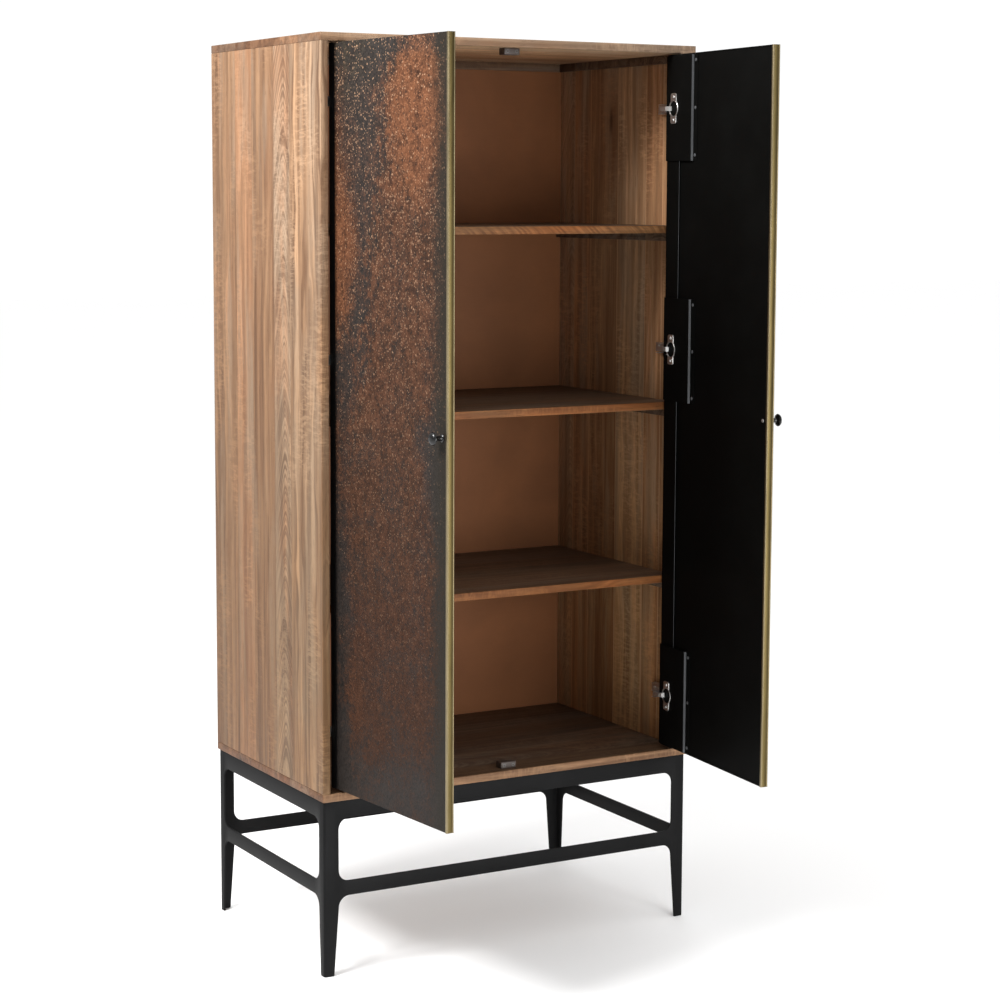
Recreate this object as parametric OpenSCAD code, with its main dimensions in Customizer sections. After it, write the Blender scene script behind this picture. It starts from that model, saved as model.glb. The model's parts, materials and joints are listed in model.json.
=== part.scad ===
// Tall two-door display cabinet on a welded iron stand.
// Solid board carcass, three fixed shelves, and two iron-clad doors on cup hinges.
// Every module is drawn in cabinet coordinates: x across from the centre line, y back from
// the front edge, z up from the floor. place() then moves the cabinet to the part's origin,
// which is the middle of the footprint of the cabinet with its doors open.

/* [Cabinet] */
// Overall width of the board carcass
cabinet_w = 914; // [860:2:960]
// Depth of the board carcass, doors shut
cabinet_d = 558; // [520:2:600]
// Height of the top surface above the floor
cabinet_h = 1965; // [1900:5:2020]
// Thickness of every board
board = 17; // [16:0.5:20]
// Thickness of the back sheet
back_t = 5; // [4:0.5:6]
// Depth of the recess behind the back sheet
back_recess = 14; // [12:1:20]
// How far the shelves stand back from the front edge
shelf_setback = 37; // [36:1:50]

/* [Stand] */
// Height of the stand under the carcass
stand_h = 377; // [340:1:400]
// How far the stand is set in from the carcass on every side
stand_reveal = 3; // [2:0.5:6]
// Thickness of the stand's plate
plate = 4.5; // [4:0.5:6]
// Height of the rail under the carcass
rail_h = 38; // [30:1:45]
// Height of the stretcher's top edge above the floor
stretcher_top = 203; // [180:1:230]
// Height of the stretcher bars
stretcher_h = 32; // [26:1:36]
// Width of a leg's front face above the stretcher
leg_w = 34; // [30:1:40]
// Width of a leg's front face at the floor
foot_w = 23; // [20:1:28]
// Radius of the curves where the bars meet the legs
flare_r = 24; // [16:1:28]
// Radius of the legs' outer corners
leg_corner_r = 6; // [3:1:8]

/* [Doors] */
// Thickness of a door
door_t = 15; // [14:0.5:18]
// Gap between a door and the boards or the other door
door_gap = 3; // [2.5:0.5:4]
// Gap over the doors
top_gap = 2.5; // [2:0.5:4]
// Gap under the doors
bottom_gap = 7; // [4:0.5:9]
// How far the shut doors stand back from the front edge
door_recess = 1; // [0.5:0.5:2]
// Angle at which the doors are modelled open
open_angle = 85; // [60:1:90]
// Height of the knobs above the floor
knob_z = 1175; // [1100:5:1250]
// Distance from a knob's axis to the door's free edge
knob_inset = 20; // [16:1:30]

/* [Hinges] */
// Distance from the door's hinge edge to the hinge pin
pin_inset = 22; // [21:0.5:23]
// Depth of the hinge pin behind the door's outer face
pin_depth = 5.5; // [5.3:0.1:5.8]
// Radius of the hinge pin
pin_r = 1.5; // [1.4:0.1:1.6]
// Distance from the hinge pin to the centre of the cup
cup_offset = 12; // [11.8:0.1:12.2]
// Radius of the cup
cup_r = 17.5; // [17.5:0.1:17.8]
// Height of a hinge carrier
carrier_h = 228; // [200:2:240]
// Width of a hinge carrier's raised plate
carrier_w = 111; // [100:1:120]

/* [Hidden] */
$fn = 48;

// Carcass
half_w = cabinet_w / 2;
inner_half_w = half_w - board;
floor_z = stand_h + board;
ceiling_z = cabinet_h - board;
opening_h = ceiling_z - floor_z;
groove_depth = 5;
back_y = cabinet_d - back_recess - back_t;
shelf_pitch = (opening_h + board) / 4;
shelf_tops = [for (i = [1:3]) floor_z + i * shelf_pitch];
cleat = [12, 18];
cleat_front = 40;

// Doors, measured on a door as s from the hinge edge, t from the outer face
door_w = (2 * inner_half_w - 3 * door_gap) / 2;
door_bottom = floor_z + bottom_gap;
door_top = ceiling_z - top_gap;
door_h = door_top - door_bottom;
sheet = 1.2;
stile_lip = 18;
stile_flange = 54;
stile_t = 1.5;
edging_t = 1.5;
edging_proud = 0.8;
edging_lip = 6;
rim = 3;
pin_x = -inner_half_w + door_gap + pin_inset;
pin_y = door_recess + pin_depth;

// Hinge carriers and cups
carrier_t = 1.5;
carrier_rise = 7;
carrier_face = door_t + carrier_rise;
carrier_flange = 14.5;
carrier_screw_s = carrier_w + carrier_flange / 2;
carrier_screw_step = 102;
carrier_gap = 3.5;
carrier_bottoms = [
    door_bottom + carrier_gap,
    floor_z + 2 * shelf_pitch + 6,
    door_top - carrier_gap - carrier_h
];
hinge_zs = [for (z = carrier_bottoms) z + carrier_h / 2];
cup_inset = pin_inset + cup_offset;
cup_wall = 1.2;
cup_floor_t = 0.5;
cup_floor_gap = 0.3;
cup_flange_t = 1.5;
cup_flange_h = 66;
cup_flange_w = 20;
cup_flange_r = 19.5;
cup_screw_step = 50;
pin_half = 11.9;
pin_play = 0.05;

// Hinge arms, measured from the pin in cabinet coordinates
neck_t = 2.5;
neck_h = 10;
eye_r = 2.8;
neck_line = [[0, 0], [14, -0.5], [23, 1.5], [25.5, 9], [25.5, 30], [-6, 30]];
arm_h = 20;
arm_t = 1.5;
arm_reach = 10;
arm_crank_x = 24;
arm_crank_d = 9;
arm_back_y = 98;
plate_t = 3;
plate_front_y = 50;
plate_back_y = 90;
plate_half_h = 7;
wing_half_h = 23;
wing_half_d = 6;
plate_screw_step = 32;

// Fasteners
screw_r = 1.75;
screw_depth = 12;
screw_head_t = 1.5;
stand_screw_r = 2.5;
stand_screw_depth = 10;
stand_screw_head_t = 3;
stand_flange = 24;

// Knob
knob_head_r = 13;
knob_reach = 28;
knob_screw_r = 2;

// The doors' free ends reach furthest forward, so they set the middle of the footprint.
free_s = door_w - pin_inset;
front_y = pin_y - free_s * sin(open_angle) - (pin_depth + edging_proud) * cos(open_angle);
origin_y = -(front_y + cabinet_d) / 2;

// Colours
wood_tan = [0.66, 0.47, 0.32];
stained = [0.36, 0.23, 0.15];
iron_black = [0.06, 0.06, 0.07];
patina = [0.33, 0.2, 0.14];
brass = [0.66, 0.56, 0.34];
nickel = [0.75, 0.75, 0.77];

module place() { translate([0, origin_y, 0]) children(); }

module box(low, high) { translate(low) cube([high[0] - low[0], high[1] - low[1], high[2] - low[2]]); }

module on_right() { mirror([1, 0, 0]) children(); }

// ---- Carcass ----

module back_sheet(grow) {
    box([-inner_half_w - grow, back_y, floor_z - grow],
        [inner_half_w + grow, back_y + back_t, ceiling_z + grow]);
}

// Positions of the screws that hold the stand, along its four rails
rail_screw_inset = stand_reveal + plate + stand_flange / 2;
long_screw_xs = [for (i = [-1:1]) i * (half_w - 150)];
short_screw_ys = [for (i = [-1, 1]) cabinet_d / 2 + i * 140];
stand_screw_points = concat(
    [for (x = long_screw_xs, y = [rail_screw_inset, cabinet_d - rail_screw_inset]) [x, y]],
    [for (y = short_screw_ys, x = [-half_w + rail_screw_inset, half_w - rail_screw_inset]) [x, y]]
);

module stand_screw_bodies(r, low, high) {
    for (p = stand_screw_points)
        translate([p[0], p[1], low]) cylinder(h = high - low, r = r);
}

module top_panel() {
    color(wood_tan) place() difference() {
        box([-half_w, 0, ceiling_z], [half_w, cabinet_d, cabinet_h]);
        back_sheet(groove_depth);
    }
}

module bottom_panel() {
    color(wood_tan) place() difference() {
        box([-half_w, 0, stand_h], [half_w, cabinet_d, floor_z]);
        back_sheet(groove_depth);
        stand_screw_bodies(stand_screw_r, stand_h - 1, stand_h + stand_screw_depth);
    }
}

module plate_screw_bodies(r, head) {
    for (z = hinge_zs, i = [-1, 1])
        translate([-inner_half_w, (plate_front_y + plate_back_y) / 2, z + i * plate_screw_step / 2])
            rotate([0, 90, 0]) {
                translate([0, 0, -screw_depth]) cylinder(h = screw_depth + plate_t, r = r);
                if (head) translate([0, 0, plate_t]) cylinder(h = screw_head_t, r = 2 * screw_r);
            }
}

module side_panel() {
    difference() {
        box([-half_w, 0, floor_z], [-inner_half_w, cabinet_d, ceiling_z]);
        back_sheet(groove_depth);
        plate_screw_bodies(screw_r, false);
    }
}

module left_side_panel() { color(wood_tan) place() side_panel(); }
module right_side_panel() { color(wood_tan) place() on_right() side_panel(); }
module back_panel() { color(stained) place() back_sheet(groove_depth); }

module shelf(i) {
    color(wood_tan) place()
        box([-inner_half_w, shelf_setback, shelf_tops[i] - board], [inner_half_w, back_y, shelf_tops[i]]);
}

module upper_shelf() { shelf(2); }
module middle_shelf() { shelf(1); }
module lower_shelf() { shelf(0); }

module side_cleat(top_z) {
    box([-inner_half_w, cleat_front, top_z - cleat[1]], [-inner_half_w + cleat[0], back_y, top_z]);
}

module left_top_cleat() { color(stained) place() side_cleat(ceiling_z); }
module right_top_cleat() { color(stained) place() on_right() side_cleat(ceiling_z); }

module back_top_rail() {
    color(stained) place()
        box([-inner_half_w + cleat[0], back_y - cleat[0], ceiling_z - cleat[1]],
            [inner_half_w - cleat[0], back_y, ceiling_z]);
}

module shelf_cleats() { for (z = shelf_tops) side_cleat(z - board); }
module left_shelf_cleats() { color(stained) place() shelf_cleats(); }
module right_shelf_cleats() { color(stained) place() on_right() shelf_cleats(); }

// ---- Catches: a magnet block over and under the meeting edges of the doors ----

catch_w = 38;
catch_d = 24;
catch_h = 15;
catch_gap = 0.5;
catch_y = door_recess + door_t + edging_proud + catch_gap;
magnet_r = 4;
magnet_depth = 8;
magnet_x = 11;

module magnet_bodies() {
    for (z = [floor_z + catch_h / 2, ceiling_z - catch_h / 2], i = [-1, 1])
        translate([i * magnet_x, catch_y, z]) rotate([-90, 0, 0]) cylinder(h = magnet_depth, r = magnet_r);
}

module catch_block(low_z) {
    color(iron_black) place() difference() {
        box([-catch_w / 2, catch_y, low_z], [catch_w / 2, catch_y + catch_d, low_z + catch_h]);
        magnet_bodies();
    }
}

module top_catch() { catch_block(ceiling_z - catch_h); }
module bottom_catch() { catch_block(floor_z); }
module catch_magnets() { color(nickel) place() magnet_bodies(); }

// ---- Hinge halves that stay on the carcass ----

module hinge_plates() {
    middle_y = (plate_front_y + plate_back_y) / 2;
    x = [-inner_half_w, -inner_half_w + plate_t];
    difference() {
        for (z = hinge_zs) {
            box([x[0], plate_front_y, z - plate_half_h], [x[1], plate_back_y, z + plate_half_h]);
            box([x[0], middle_y - wing_half_d, z - wing_half_h],
                [x[1], middle_y + wing_half_d, z + wing_half_h]);
        }
        plate_screw_bodies(screw_r, false);
    }
}

module left_hinge_plates() { color(nickel) place() hinge_plates(); }
module right_hinge_plates() { color(nickel) place() on_right() hinge_plates(); }
module left_plate_screws() { color(nickel) place() plate_screw_bodies(screw_r, true); }
module right_plate_screws() { color(nickel) place() on_right() plate_screw_bodies(screw_r, true); }

// Unit normal of a line's stretch i, and its points moved sideways by d with mitred corners
function stretch_normal(line, i) =
    let (run = line[i + 1] - line[i]) [-run[1], run[0]] / norm(run);
function beside(line, d) = [
    for (i = [0:len(line) - 1])
        let (a = stretch_normal(line, max(i - 1, 0)), b = stretch_normal(line, min(i, len(line) - 2)))
            line[i] + d * (a + b) / (1 + a * b)
];

module neck_outline() {
    left = beside(neck_line, neck_t / 2);
    right = beside(neck_line, -neck_t / 2);
    difference() {
        union() {
            circle(r = eye_r);
            polygon(concat(left, [for (i = [len(right) - 1:-1:0]) right[i]]));
        }
        circle(r = pin_r + pin_play);
    }
}

// A channel along the side panel, with the cranked neck that reaches round the door's edge
module hinge_arms() {
    web_x = -inner_half_w + plate_t + arm_reach;
    neck_y = pin_y + neck_line[len(neck_line) - 1][1];
    lip_gap = 1;
    foot_half_h = 5;
    foot_inset = 2;
    for (z = hinge_zs) {
        translate([pin_x, pin_y, z - neck_h / 2]) linear_extrude(neck_h) neck_outline();
        box([web_x, neck_y - neck_t / 2, z - arm_h / 2], [web_x + arm_t, arm_back_y, z + arm_h / 2]);
        for (low = [z - arm_h / 2, z + arm_h / 2 - arm_t]) {
            box([-inner_half_w + plate_t + lip_gap, neck_y, low], [web_x, arm_back_y, low + arm_t]);
            box([web_x, neck_y - neck_t / 2, low], [pin_x + arm_crank_x, neck_y + arm_crank_d, low + arm_t]);
        }
        box([web_x, neck_y - neck_t / 2, z - arm_h / 2], [pin_x, neck_y + neck_t / 2, z + arm_h / 2]);
        box([-inner_half_w + plate_t, plate_front_y + foot_inset, z - foot_half_h],
            [web_x, plate_back_y - foot_inset, z + foot_half_h]);
    }
}

module left_hinge_arms() { color(nickel) place() hinge_arms(); }
module right_hinge_arms() { color(nickel) place() on_right() hinge_arms(); }

// ---- Stand ----

// One face of a leg: full width at the top, tapered to the foot, with stubs that flare
// into the rail and the stretcher
module leg_face(top_w, bottom_w) {
    stretcher_bottom = stretcher_top - stretcher_h;
    rail_bottom = stand_h - rail_h;
    polygon([[0, 0], [bottom_w, 0], [top_w, stretcher_bottom - flare_r], [top_w, stand_h], [0, stand_h]]);
    for (span = [[stretcher_bottom, stretcher_top], [rail_bottom, stand_h]])
        translate([top_w - 1, span[0]]) square([flare_r + 1, span[1] - span[0]]);
    flare(top_w, stretcher_bottom, -1);
    flare(top_w, stretcher_top, 1);
    flare(top_w, rail_bottom, -1);
}

module flare(x, z, way) {
    overlap = 3;
    translate([x, z]) mirror([0, way > 0 ? 0 : 1]) difference() {
        translate([-overlap, -overlap]) square([flare_r + overlap, flare_r + overlap]);
        translate([flare_r, flare_r]) circle(r = flare_r);
    }
}

side_leg_w = 26;
side_foot_w = 19;
stand_left = -half_w + stand_reveal;
stand_front = stand_reveal;

// The leg at the front left corner; the other three are its mirror images
module leg() {
    intersection() {
        translate([stand_left, stand_front, 0]) {
            translate([0, plate, 0]) rotate([90, 0, 0]) linear_extrude(plate) leg_face(leg_w, foot_w);
            rotate([90, 0, 90]) linear_extrude(plate) leg_face(side_leg_w, side_foot_w);
        }
        translate([stand_left, stand_front, -1]) linear_extrude(stand_h + 2) {
            translate([leg_corner_r, leg_corner_r]) circle(r = leg_corner_r);
            translate([leg_corner_r, 0]) square([100, 100]);
            translate([0, leg_corner_r]) square([100, 100]);
        }
    }
}

module to_back() { translate([0, cabinet_d, 0]) mirror([0, 1, 0]) children(); }

module front_left_leg() { color(iron_black) place() leg(); }
module front_right_leg() { color(iron_black) place() on_right() leg(); }
module back_left_leg() { color(iron_black) place() to_back() leg(); }
module back_right_leg() { color(iron_black) place() on_right() to_back() leg(); }

long_end = stand_left + leg_w + flare_r;
short_ends = [stand_front + side_leg_w + flare_r, cabinet_d - stand_front - side_leg_w - flare_r];

// Angle bars under the carcass: an upright face flush with the legs, and a flange for screws
module long_rail() {
    difference() {
        union() {
            box([long_end, stand_front, stand_h - rail_h], [-long_end, stand_front + plate, stand_h]);
            box([long_end, stand_front, stand_h - plate],
                [-long_end, stand_front + plate + stand_flange, stand_h]);
        }
        stand_screw_bodies(stand_screw_r, stand_h - 2 * plate, stand_h + 1);
    }
}

module short_rail() {
    difference() {
        union() {
            box([stand_left, short_ends[0], stand_h - rail_h], [stand_left + plate, short_ends[1], stand_h]);
            box([stand_left, short_ends[0], stand_h - plate],
                [stand_left + plate + stand_flange, short_ends[1], stand_h]);
        }
        stand_screw_bodies(stand_screw_r, stand_h - 2 * plate, stand_h + 1);
    }
}

module front_rail() { color(iron_black) place() long_rail(); }
module back_rail() { color(iron_black) place() to_back() long_rail(); }
module left_rail() { color(iron_black) place() short_rail(); }
module right_rail() { color(iron_black) place() on_right() short_rail(); }

module long_stretcher() {
    box([long_end, stand_front, stretcher_top - stretcher_h], [-long_end, stand_front + plate, stretcher_top]);
}

module short_stretcher() {
    box([stand_left, short_ends[0], stretcher_top - stretcher_h],
        [stand_left + plate, short_ends[1], stretcher_top]);
}

module front_stretcher() { color(iron_black) place() long_stretcher(); }
module back_stretcher() { color(iron_black) place() to_back() long_stretcher(); }
module left_stretcher() { color(iron_black) place() short_stretcher(); }
module right_stretcher() { color(iron_black) place() on_right() short_stretcher(); }

module stand_screws() {
    under_rail = stand_h - plate;
    color(nickel) place() {
        stand_screw_bodies(stand_screw_r, under_rail - 1, stand_h + stand_screw_depth);
        stand_screw_bodies(2 * stand_screw_r, under_rail - stand_screw_head_t, under_rail);
    }
}

// ---- Doors ----

// Puts a door that is drawn shut on its hinge pins, turned open
module hang() {
    translate([pin_x, pin_y, 0]) rotate(-open_angle) translate([-pin_inset, -pin_depth, 0]) children();
}

module left_door() { place() hang() children(); }
module right_door() { on_right() left_door() children(); }

module cup_holes(low_t, high_t, r) {
    for (z = hinge_zs)
        translate([cup_inset, low_t, z]) rotate([-90, 0, 0]) cylinder(h = high_t - low_t, r = r);
}

module carrier_screw_bodies(low_t, high_t, r) {
    for (z = hinge_zs, i = [-1:1])
        translate([carrier_screw_s, low_t, z + i * carrier_screw_step])
            rotate([-90, 0, 0]) cylinder(h = high_t - low_t, r = r);
}

module knob_hole(low_t, high_t) {
    translate([door_w - knob_inset, low_t, knob_z])
        rotate([-90, 0, 0]) cylinder(h = high_t - low_t, r = knob_screw_r);
}

// Outer sheet with a folded edge at the top and the bottom
module door_skin() {
    difference() {
        union() {
            box([stile_lip, 0, door_bottom], [door_w - edging_t, sheet, door_top]);
            for (z = [door_bottom, door_top - sheet])
                box([stile_t, sheet, z], [door_w - edging_t, door_t, z + sheet]);
            for (z = [door_bottom, door_top - rim])
                box([stile_flange, door_t - sheet, z], [door_w - edging_t, door_t, z + rim]);
        }
        knob_hole(-1, door_t + 1);
    }
}

// Channel folded round the hinge edge
module door_stile() {
    low = door_bottom;
    difference() {
        union() {
            box([0, 0, low], [stile_lip, sheet, door_top]);
            box([0, 0, low], [stile_t, door_t, door_top]);
            box([0, door_t, low], [stile_flange, door_t + stile_t, door_top]);
        }
        cup_holes(door_t - 1, door_t + stile_t + 1, cup_r);
    }
}

module door_lining() {
    inner = door_t - sheet;
    difference() {
        box([stile_t, inner - sheet, door_bottom + sheet],
            [door_w - edging_t, inner, door_top - sheet]);
        cup_holes(inner - sheet - 1, inner + 1, cup_r);
        carrier_screw_bodies(inner - sheet - 1, inner + 1, screw_r);
        knob_hole(inner - sheet - 1, inner + 1);
    }
}

// Brass channel over the free edge
module door_edging() {
    box([door_w - edging_t, -edging_proud, door_bottom], [door_w, door_t + edging_proud, door_top]);
    for (t = [-edging_proud, door_t])
        box([door_w - edging_lip, t, door_bottom], [door_w, t + edging_proud, door_top]);
}

module hinge_carriers() {
    foot_low = door_t - sheet;
    difference() {
        for (z = carrier_bottoms) {
            box([0, carrier_face - carrier_t, z], [carrier_w, carrier_face, z + carrier_h]);
            box([0, door_t + stile_t, z], [carrier_t, carrier_face, z + carrier_h]);
            box([carrier_w - carrier_t, foot_low, z], [carrier_w, carrier_face, z + carrier_h]);
            box([carrier_w - carrier_t, foot_low, z],
                [carrier_w + carrier_flange, foot_low + carrier_t, z + carrier_h]);
        }
        cup_holes(carrier_face - carrier_t - 1, carrier_face + 1, cup_r);
        carrier_screw_bodies(foot_low - 1, foot_low + carrier_t + 1, screw_r);
        cup_screw_bodies(false);
    }
}

module cup_screw_bodies(head) {
    depth = 5;
    for (z = hinge_zs, i = [-1, 1])
        translate([cup_inset, carrier_face - depth, z + i * cup_screw_step / 2]) rotate([-90, 0, 0]) {
            cylinder(h = depth + cup_flange_t, r = screw_r);
            if (head) translate([0, 0, depth + cup_flange_t]) cylinder(h = screw_head_t, r = 2 * screw_r);
        }
}

module carrier_screws() {
    foot_low = door_t - sheet;
    foot_top = foot_low + carrier_t;
    tip = 3;
    carrier_screw_bodies(foot_low - sheet - tip, foot_top, screw_r);
    carrier_screw_bodies(foot_top, foot_top + screw_head_t, 2 * screw_r);
}

// Pressed cups with a flange on the carrier's face; the walls hold the ends of the pin
module hinge_cups() {
    cup_floor = sheet + cup_floor_gap;
    difference() {
        union() {
            cup_holes(cup_floor, carrier_face, cup_r);
            cup_holes(carrier_face, carrier_face + cup_flange_t, cup_flange_r);
            for (z = hinge_zs)
                box([cup_inset - cup_flange_w / 2, carrier_face, z - cup_flange_h / 2],
                    [cup_inset + cup_flange_w / 2, carrier_face + cup_flange_t, z + cup_flange_h / 2]);
        }
        cup_holes(cup_floor + cup_floor_t, carrier_face + cup_flange_t + 1, cup_r - cup_wall);
        hinge_pin_bodies();
        cup_screw_bodies(false);
    }
}

module hinge_pin_bodies() {
    for (z = hinge_zs)
        translate([pin_inset, pin_depth, z - pin_half]) cylinder(h = 2 * pin_half, r = pin_r);
}

// A flat base, a straight neck and a head with a chamfered rim
module knob() {
    base_r = 8;
    base_t = 2.5;
    neck_r = 5;
    bevel = 3;
    head_low = knob_reach - 12;
    rim_z = [head_low + 4, head_low + 6];
    translate([door_w - knob_inset, 0, knob_z]) rotate([90, 0, 0]) difference() {
        rotate_extrude() {
            square([base_r, base_t]);
            square([neck_r, rim_z[0]]);
            polygon([[0, head_low], [neck_r, head_low], [knob_head_r - 1, rim_z[0]],
                [knob_head_r, rim_z[1]], [knob_head_r - bevel, knob_reach - bevel / 2],
                [knob_head_r - 2 * bevel, knob_reach], [0, knob_reach]]);
        }
        translate([0, 0, -1]) cylinder(h = screw_depth + 1, r = knob_screw_r);
    }
}

module knob_screw() {
    inner = door_t - sheet;
    translate([door_w - knob_inset, 0, knob_z]) rotate([-90, 0, 0]) {
        translate([0, 0, -screw_depth]) cylinder(h = screw_depth + inner, r = knob_screw_r);
        translate([0, 0, inner]) cylinder(h = screw_head_t, r = 2 * knob_screw_r);
    }
}

module left_door_skin() { color(patina) left_door() door_skin(); }
module left_door_stile() { color(iron_black) left_door() door_stile(); }
module left_door_lining() { color(iron_black) left_door() door_lining(); }
module left_door_edging() { color(brass) left_door() door_edging(); }
module left_hinge_carriers() { color(iron_black) left_door() hinge_carriers(); }
module left_carrier_screws() { color(iron_black) left_door() carrier_screws(); }
module left_hinge_cups() { color(nickel) left_door() hinge_cups(); }
module left_cup_screws() { color(nickel) left_door() cup_screw_bodies(true); }
module left_hinge_pins() { color(nickel) left_door() hinge_pin_bodies(); }
module left_knob() { color(iron_black) left_door() knob(); }
module left_knob_screw() { color(nickel) left_door() knob_screw(); }

module right_door_skin() { color(patina) right_door() door_skin(); }
module right_door_stile() { color(iron_black) right_door() door_stile(); }
module right_door_lining() { color(iron_black) right_door() door_lining(); }
module right_door_edging() { color(brass) right_door() door_edging(); }
module right_hinge_carriers() { color(iron_black) right_door() hinge_carriers(); }
module right_carrier_screws() { color(iron_black) right_door() carrier_screws(); }
module right_hinge_cups() { color(nickel) right_door() hinge_cups(); }
module right_cup_screws() { color(nickel) right_door() cup_screw_bodies(true); }
module right_hinge_pins() { color(nickel) right_door() hinge_pin_bodies(); }
module right_knob() { color(iron_black) right_door() knob(); }
module right_knob_screw() { color(nickel) right_door() knob_screw(); }

top_panel();
bottom_panel();
left_side_panel();
right_side_panel();
back_panel();
upper_shelf();
middle_shelf();
lower_shelf();
left_top_cleat();
right_top_cleat();
back_top_rail();
left_shelf_cleats();
right_shelf_cleats();
top_catch();
bottom_catch();
catch_magnets();
left_hinge_plates();
right_hinge_plates();
left_hinge_arms();
right_hinge_arms();
left_plate_screws();
right_plate_screws();
front_left_leg();
front_right_leg();
back_left_leg();
back_right_leg();
front_rail();
back_rail();
left_rail();
right_rail();
front_stretcher();
back_stretcher();
left_stretcher();
right_stretcher();
stand_screws();
left_door_skin();
left_door_stile();
left_door_lining();
left_door_edging();
left_hinge_carriers();
left_carrier_screws();
left_hinge_cups();
left_cup_screws();
left_hinge_pins();
left_knob();
left_knob_screw();
right_door_skin();
right_door_stile();
right_door_lining();
right_door_edging();
right_hinge_carriers();
right_carrier_screws();
right_hinge_cups();
right_cup_screws();
right_hinge_pins();
right_knob();
right_knob_screw();
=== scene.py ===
"""Builds the looks of a tall two-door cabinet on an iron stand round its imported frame."""

import json
import math
import random

import bmesh
import bpy
from bpy.props import FloatProperty, FloatVectorProperty, PointerProperty
from mathutils import Matrix, Vector


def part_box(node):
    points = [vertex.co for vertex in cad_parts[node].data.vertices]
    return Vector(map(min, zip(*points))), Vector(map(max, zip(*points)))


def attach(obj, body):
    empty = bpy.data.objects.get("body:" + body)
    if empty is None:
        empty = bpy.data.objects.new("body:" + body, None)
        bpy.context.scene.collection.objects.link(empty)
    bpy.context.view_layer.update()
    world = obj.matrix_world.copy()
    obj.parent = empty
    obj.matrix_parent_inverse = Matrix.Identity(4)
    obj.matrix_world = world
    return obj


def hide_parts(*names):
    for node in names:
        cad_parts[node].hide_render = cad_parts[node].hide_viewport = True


bl_info = {
    "name": "Iron Stand Cabinet",
    "version": (1, 0, 0),
    "blender": (4, 5, 0),
    "location": "View3D > Sidebar > Cabinet",
    "description": "Builds the boards, iron doors, hinges and stand of a tall cabinet",
    "category": "Add Mesh",
}

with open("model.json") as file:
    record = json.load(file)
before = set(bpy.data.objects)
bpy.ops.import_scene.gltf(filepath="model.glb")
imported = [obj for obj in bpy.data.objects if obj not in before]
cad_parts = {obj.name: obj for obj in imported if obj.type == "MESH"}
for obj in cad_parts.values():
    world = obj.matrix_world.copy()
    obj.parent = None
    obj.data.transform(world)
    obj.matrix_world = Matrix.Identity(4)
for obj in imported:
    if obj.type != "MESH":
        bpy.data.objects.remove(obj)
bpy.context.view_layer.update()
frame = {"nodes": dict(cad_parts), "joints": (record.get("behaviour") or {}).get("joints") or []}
MM = 0.001
TINY = 1e-6
SIDES = ("left", "right")
SHELVES = ("upper_shelf", "middle_shelf", "lower_shelf")


# ---- Settings ----


def length(name, description, default):
    """A length property in metres."""
    return FloatProperty(name=name, description=description, default=default, min=0.0, unit="LENGTH")


def colour(name, description, default):
    """A linear RGB colour property."""
    return FloatVectorProperty(
        name=name, description=description, default=default, size=3, min=0.0, max=1.0, subtype="COLOR"
    )


def power(name, description, default):
    """A light's power in watts."""
    return FloatProperty(name=name, description=description, default=default, min=0.0, unit="POWER")


def strength(name, description, default):
    """The strength of a part of the surrounding light."""
    return FloatProperty(name=name, description=description, default=default, min=0.0)


class CabinetWoodSettings(bpy.types.PropertyGroup):
    """Sizes and colours of the boards."""

    board_ease: length("Eased edge", "Radius of the boards' eased edges", 0.0013)
    stain_margin: length("Bare margin", "Width of the unstained strip along the front edge", 0.006)
    tan: colour("Tan planks", "Colour of the plain planks", (0.208, 0.121, 0.068))
    pink: colour("Pink planks", "Colour of the reddish planks", (0.252, 0.134, 0.073))
    brown: colour("Brown planks", "Colour of the darker planks", (0.176, 0.095, 0.052))
    grey: colour("Grey planks", "Colour of the greyish planks", (0.228, 0.160, 0.110))
    honey: colour("Honey planks", "Colour of the palest planks", (0.272, 0.165, 0.096))
    end: colour("Slab edge", "Colour of the top and bottom boards' edges", (0.125, 0.064, 0.034))
    stain: colour("Stain", "Colour of the stained side boards inside", (0.415, 0.240, 0.128))
    shelf: colour("Shelf stain", "Colour of the shelves' faces", (0.110, 0.067, 0.041))
    edge: colour("Shelf edge", "Colour of the shelves' front edges", (0.156, 0.064, 0.022))
    ply: colour("Back sheet", "Colour of the stained back sheet", (0.178, 0.067, 0.024))


class CabinetMetalSettings(bpy.types.PropertyGroup):
    """Colours of the metal parts."""

    black: colour("Black coat", "Colour of the stand's satin coat", (0.0068, 0.0068, 0.0070))
    lining: colour("Door lining", "Colour of the doors' inner sheets", (0.0026, 0.0026, 0.0024))
    steel: colour("Dark patina", "Colour of the bare, blackened iron", (0.0290, 0.0245, 0.0220))
    slate: colour("Slate patina", "Colour of the grey-green patina", (0.040, 0.032, 0.021))
    rust: colour("Rust", "Colour of the brown rust", (0.058, 0.0255, 0.0140))
    fleck: colour("Rust flecks", "Colour of the pale flecks", (0.235, 0.140, 0.085))
    bloom: colour("Rust bloom", "Colour of the brightest rust", (0.125, 0.049, 0.022))
    brass: colour("Aged brass", "Colour of the brass edging's face", (0.088, 0.066, 0.026))
    # Painted highlight and wear: paler brass on the edging's rounded corners stands for their glints as
    # well as rubbing.
    worn: colour("Brass glints and wear", "Colour of the brass edging's corners: painted glints and rubbing", (0.24, 0.195, 0.115))
    nickel: colour("Nickel", "Colour of the hinges and screws", (0.66, 0.655, 0.64))
    # Painted sheen: a lighter black that stands for the highlights on the black sheets' edges that face the
    # lights.
    rubbed: colour("Painted sheen on black", "Colour of the painted sheen on the black sheets' edges", (0.075, 0.078, 0.082))
    fold: length("Fold radius", "Outer radius of the folded sheets", 0.0015)


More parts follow.
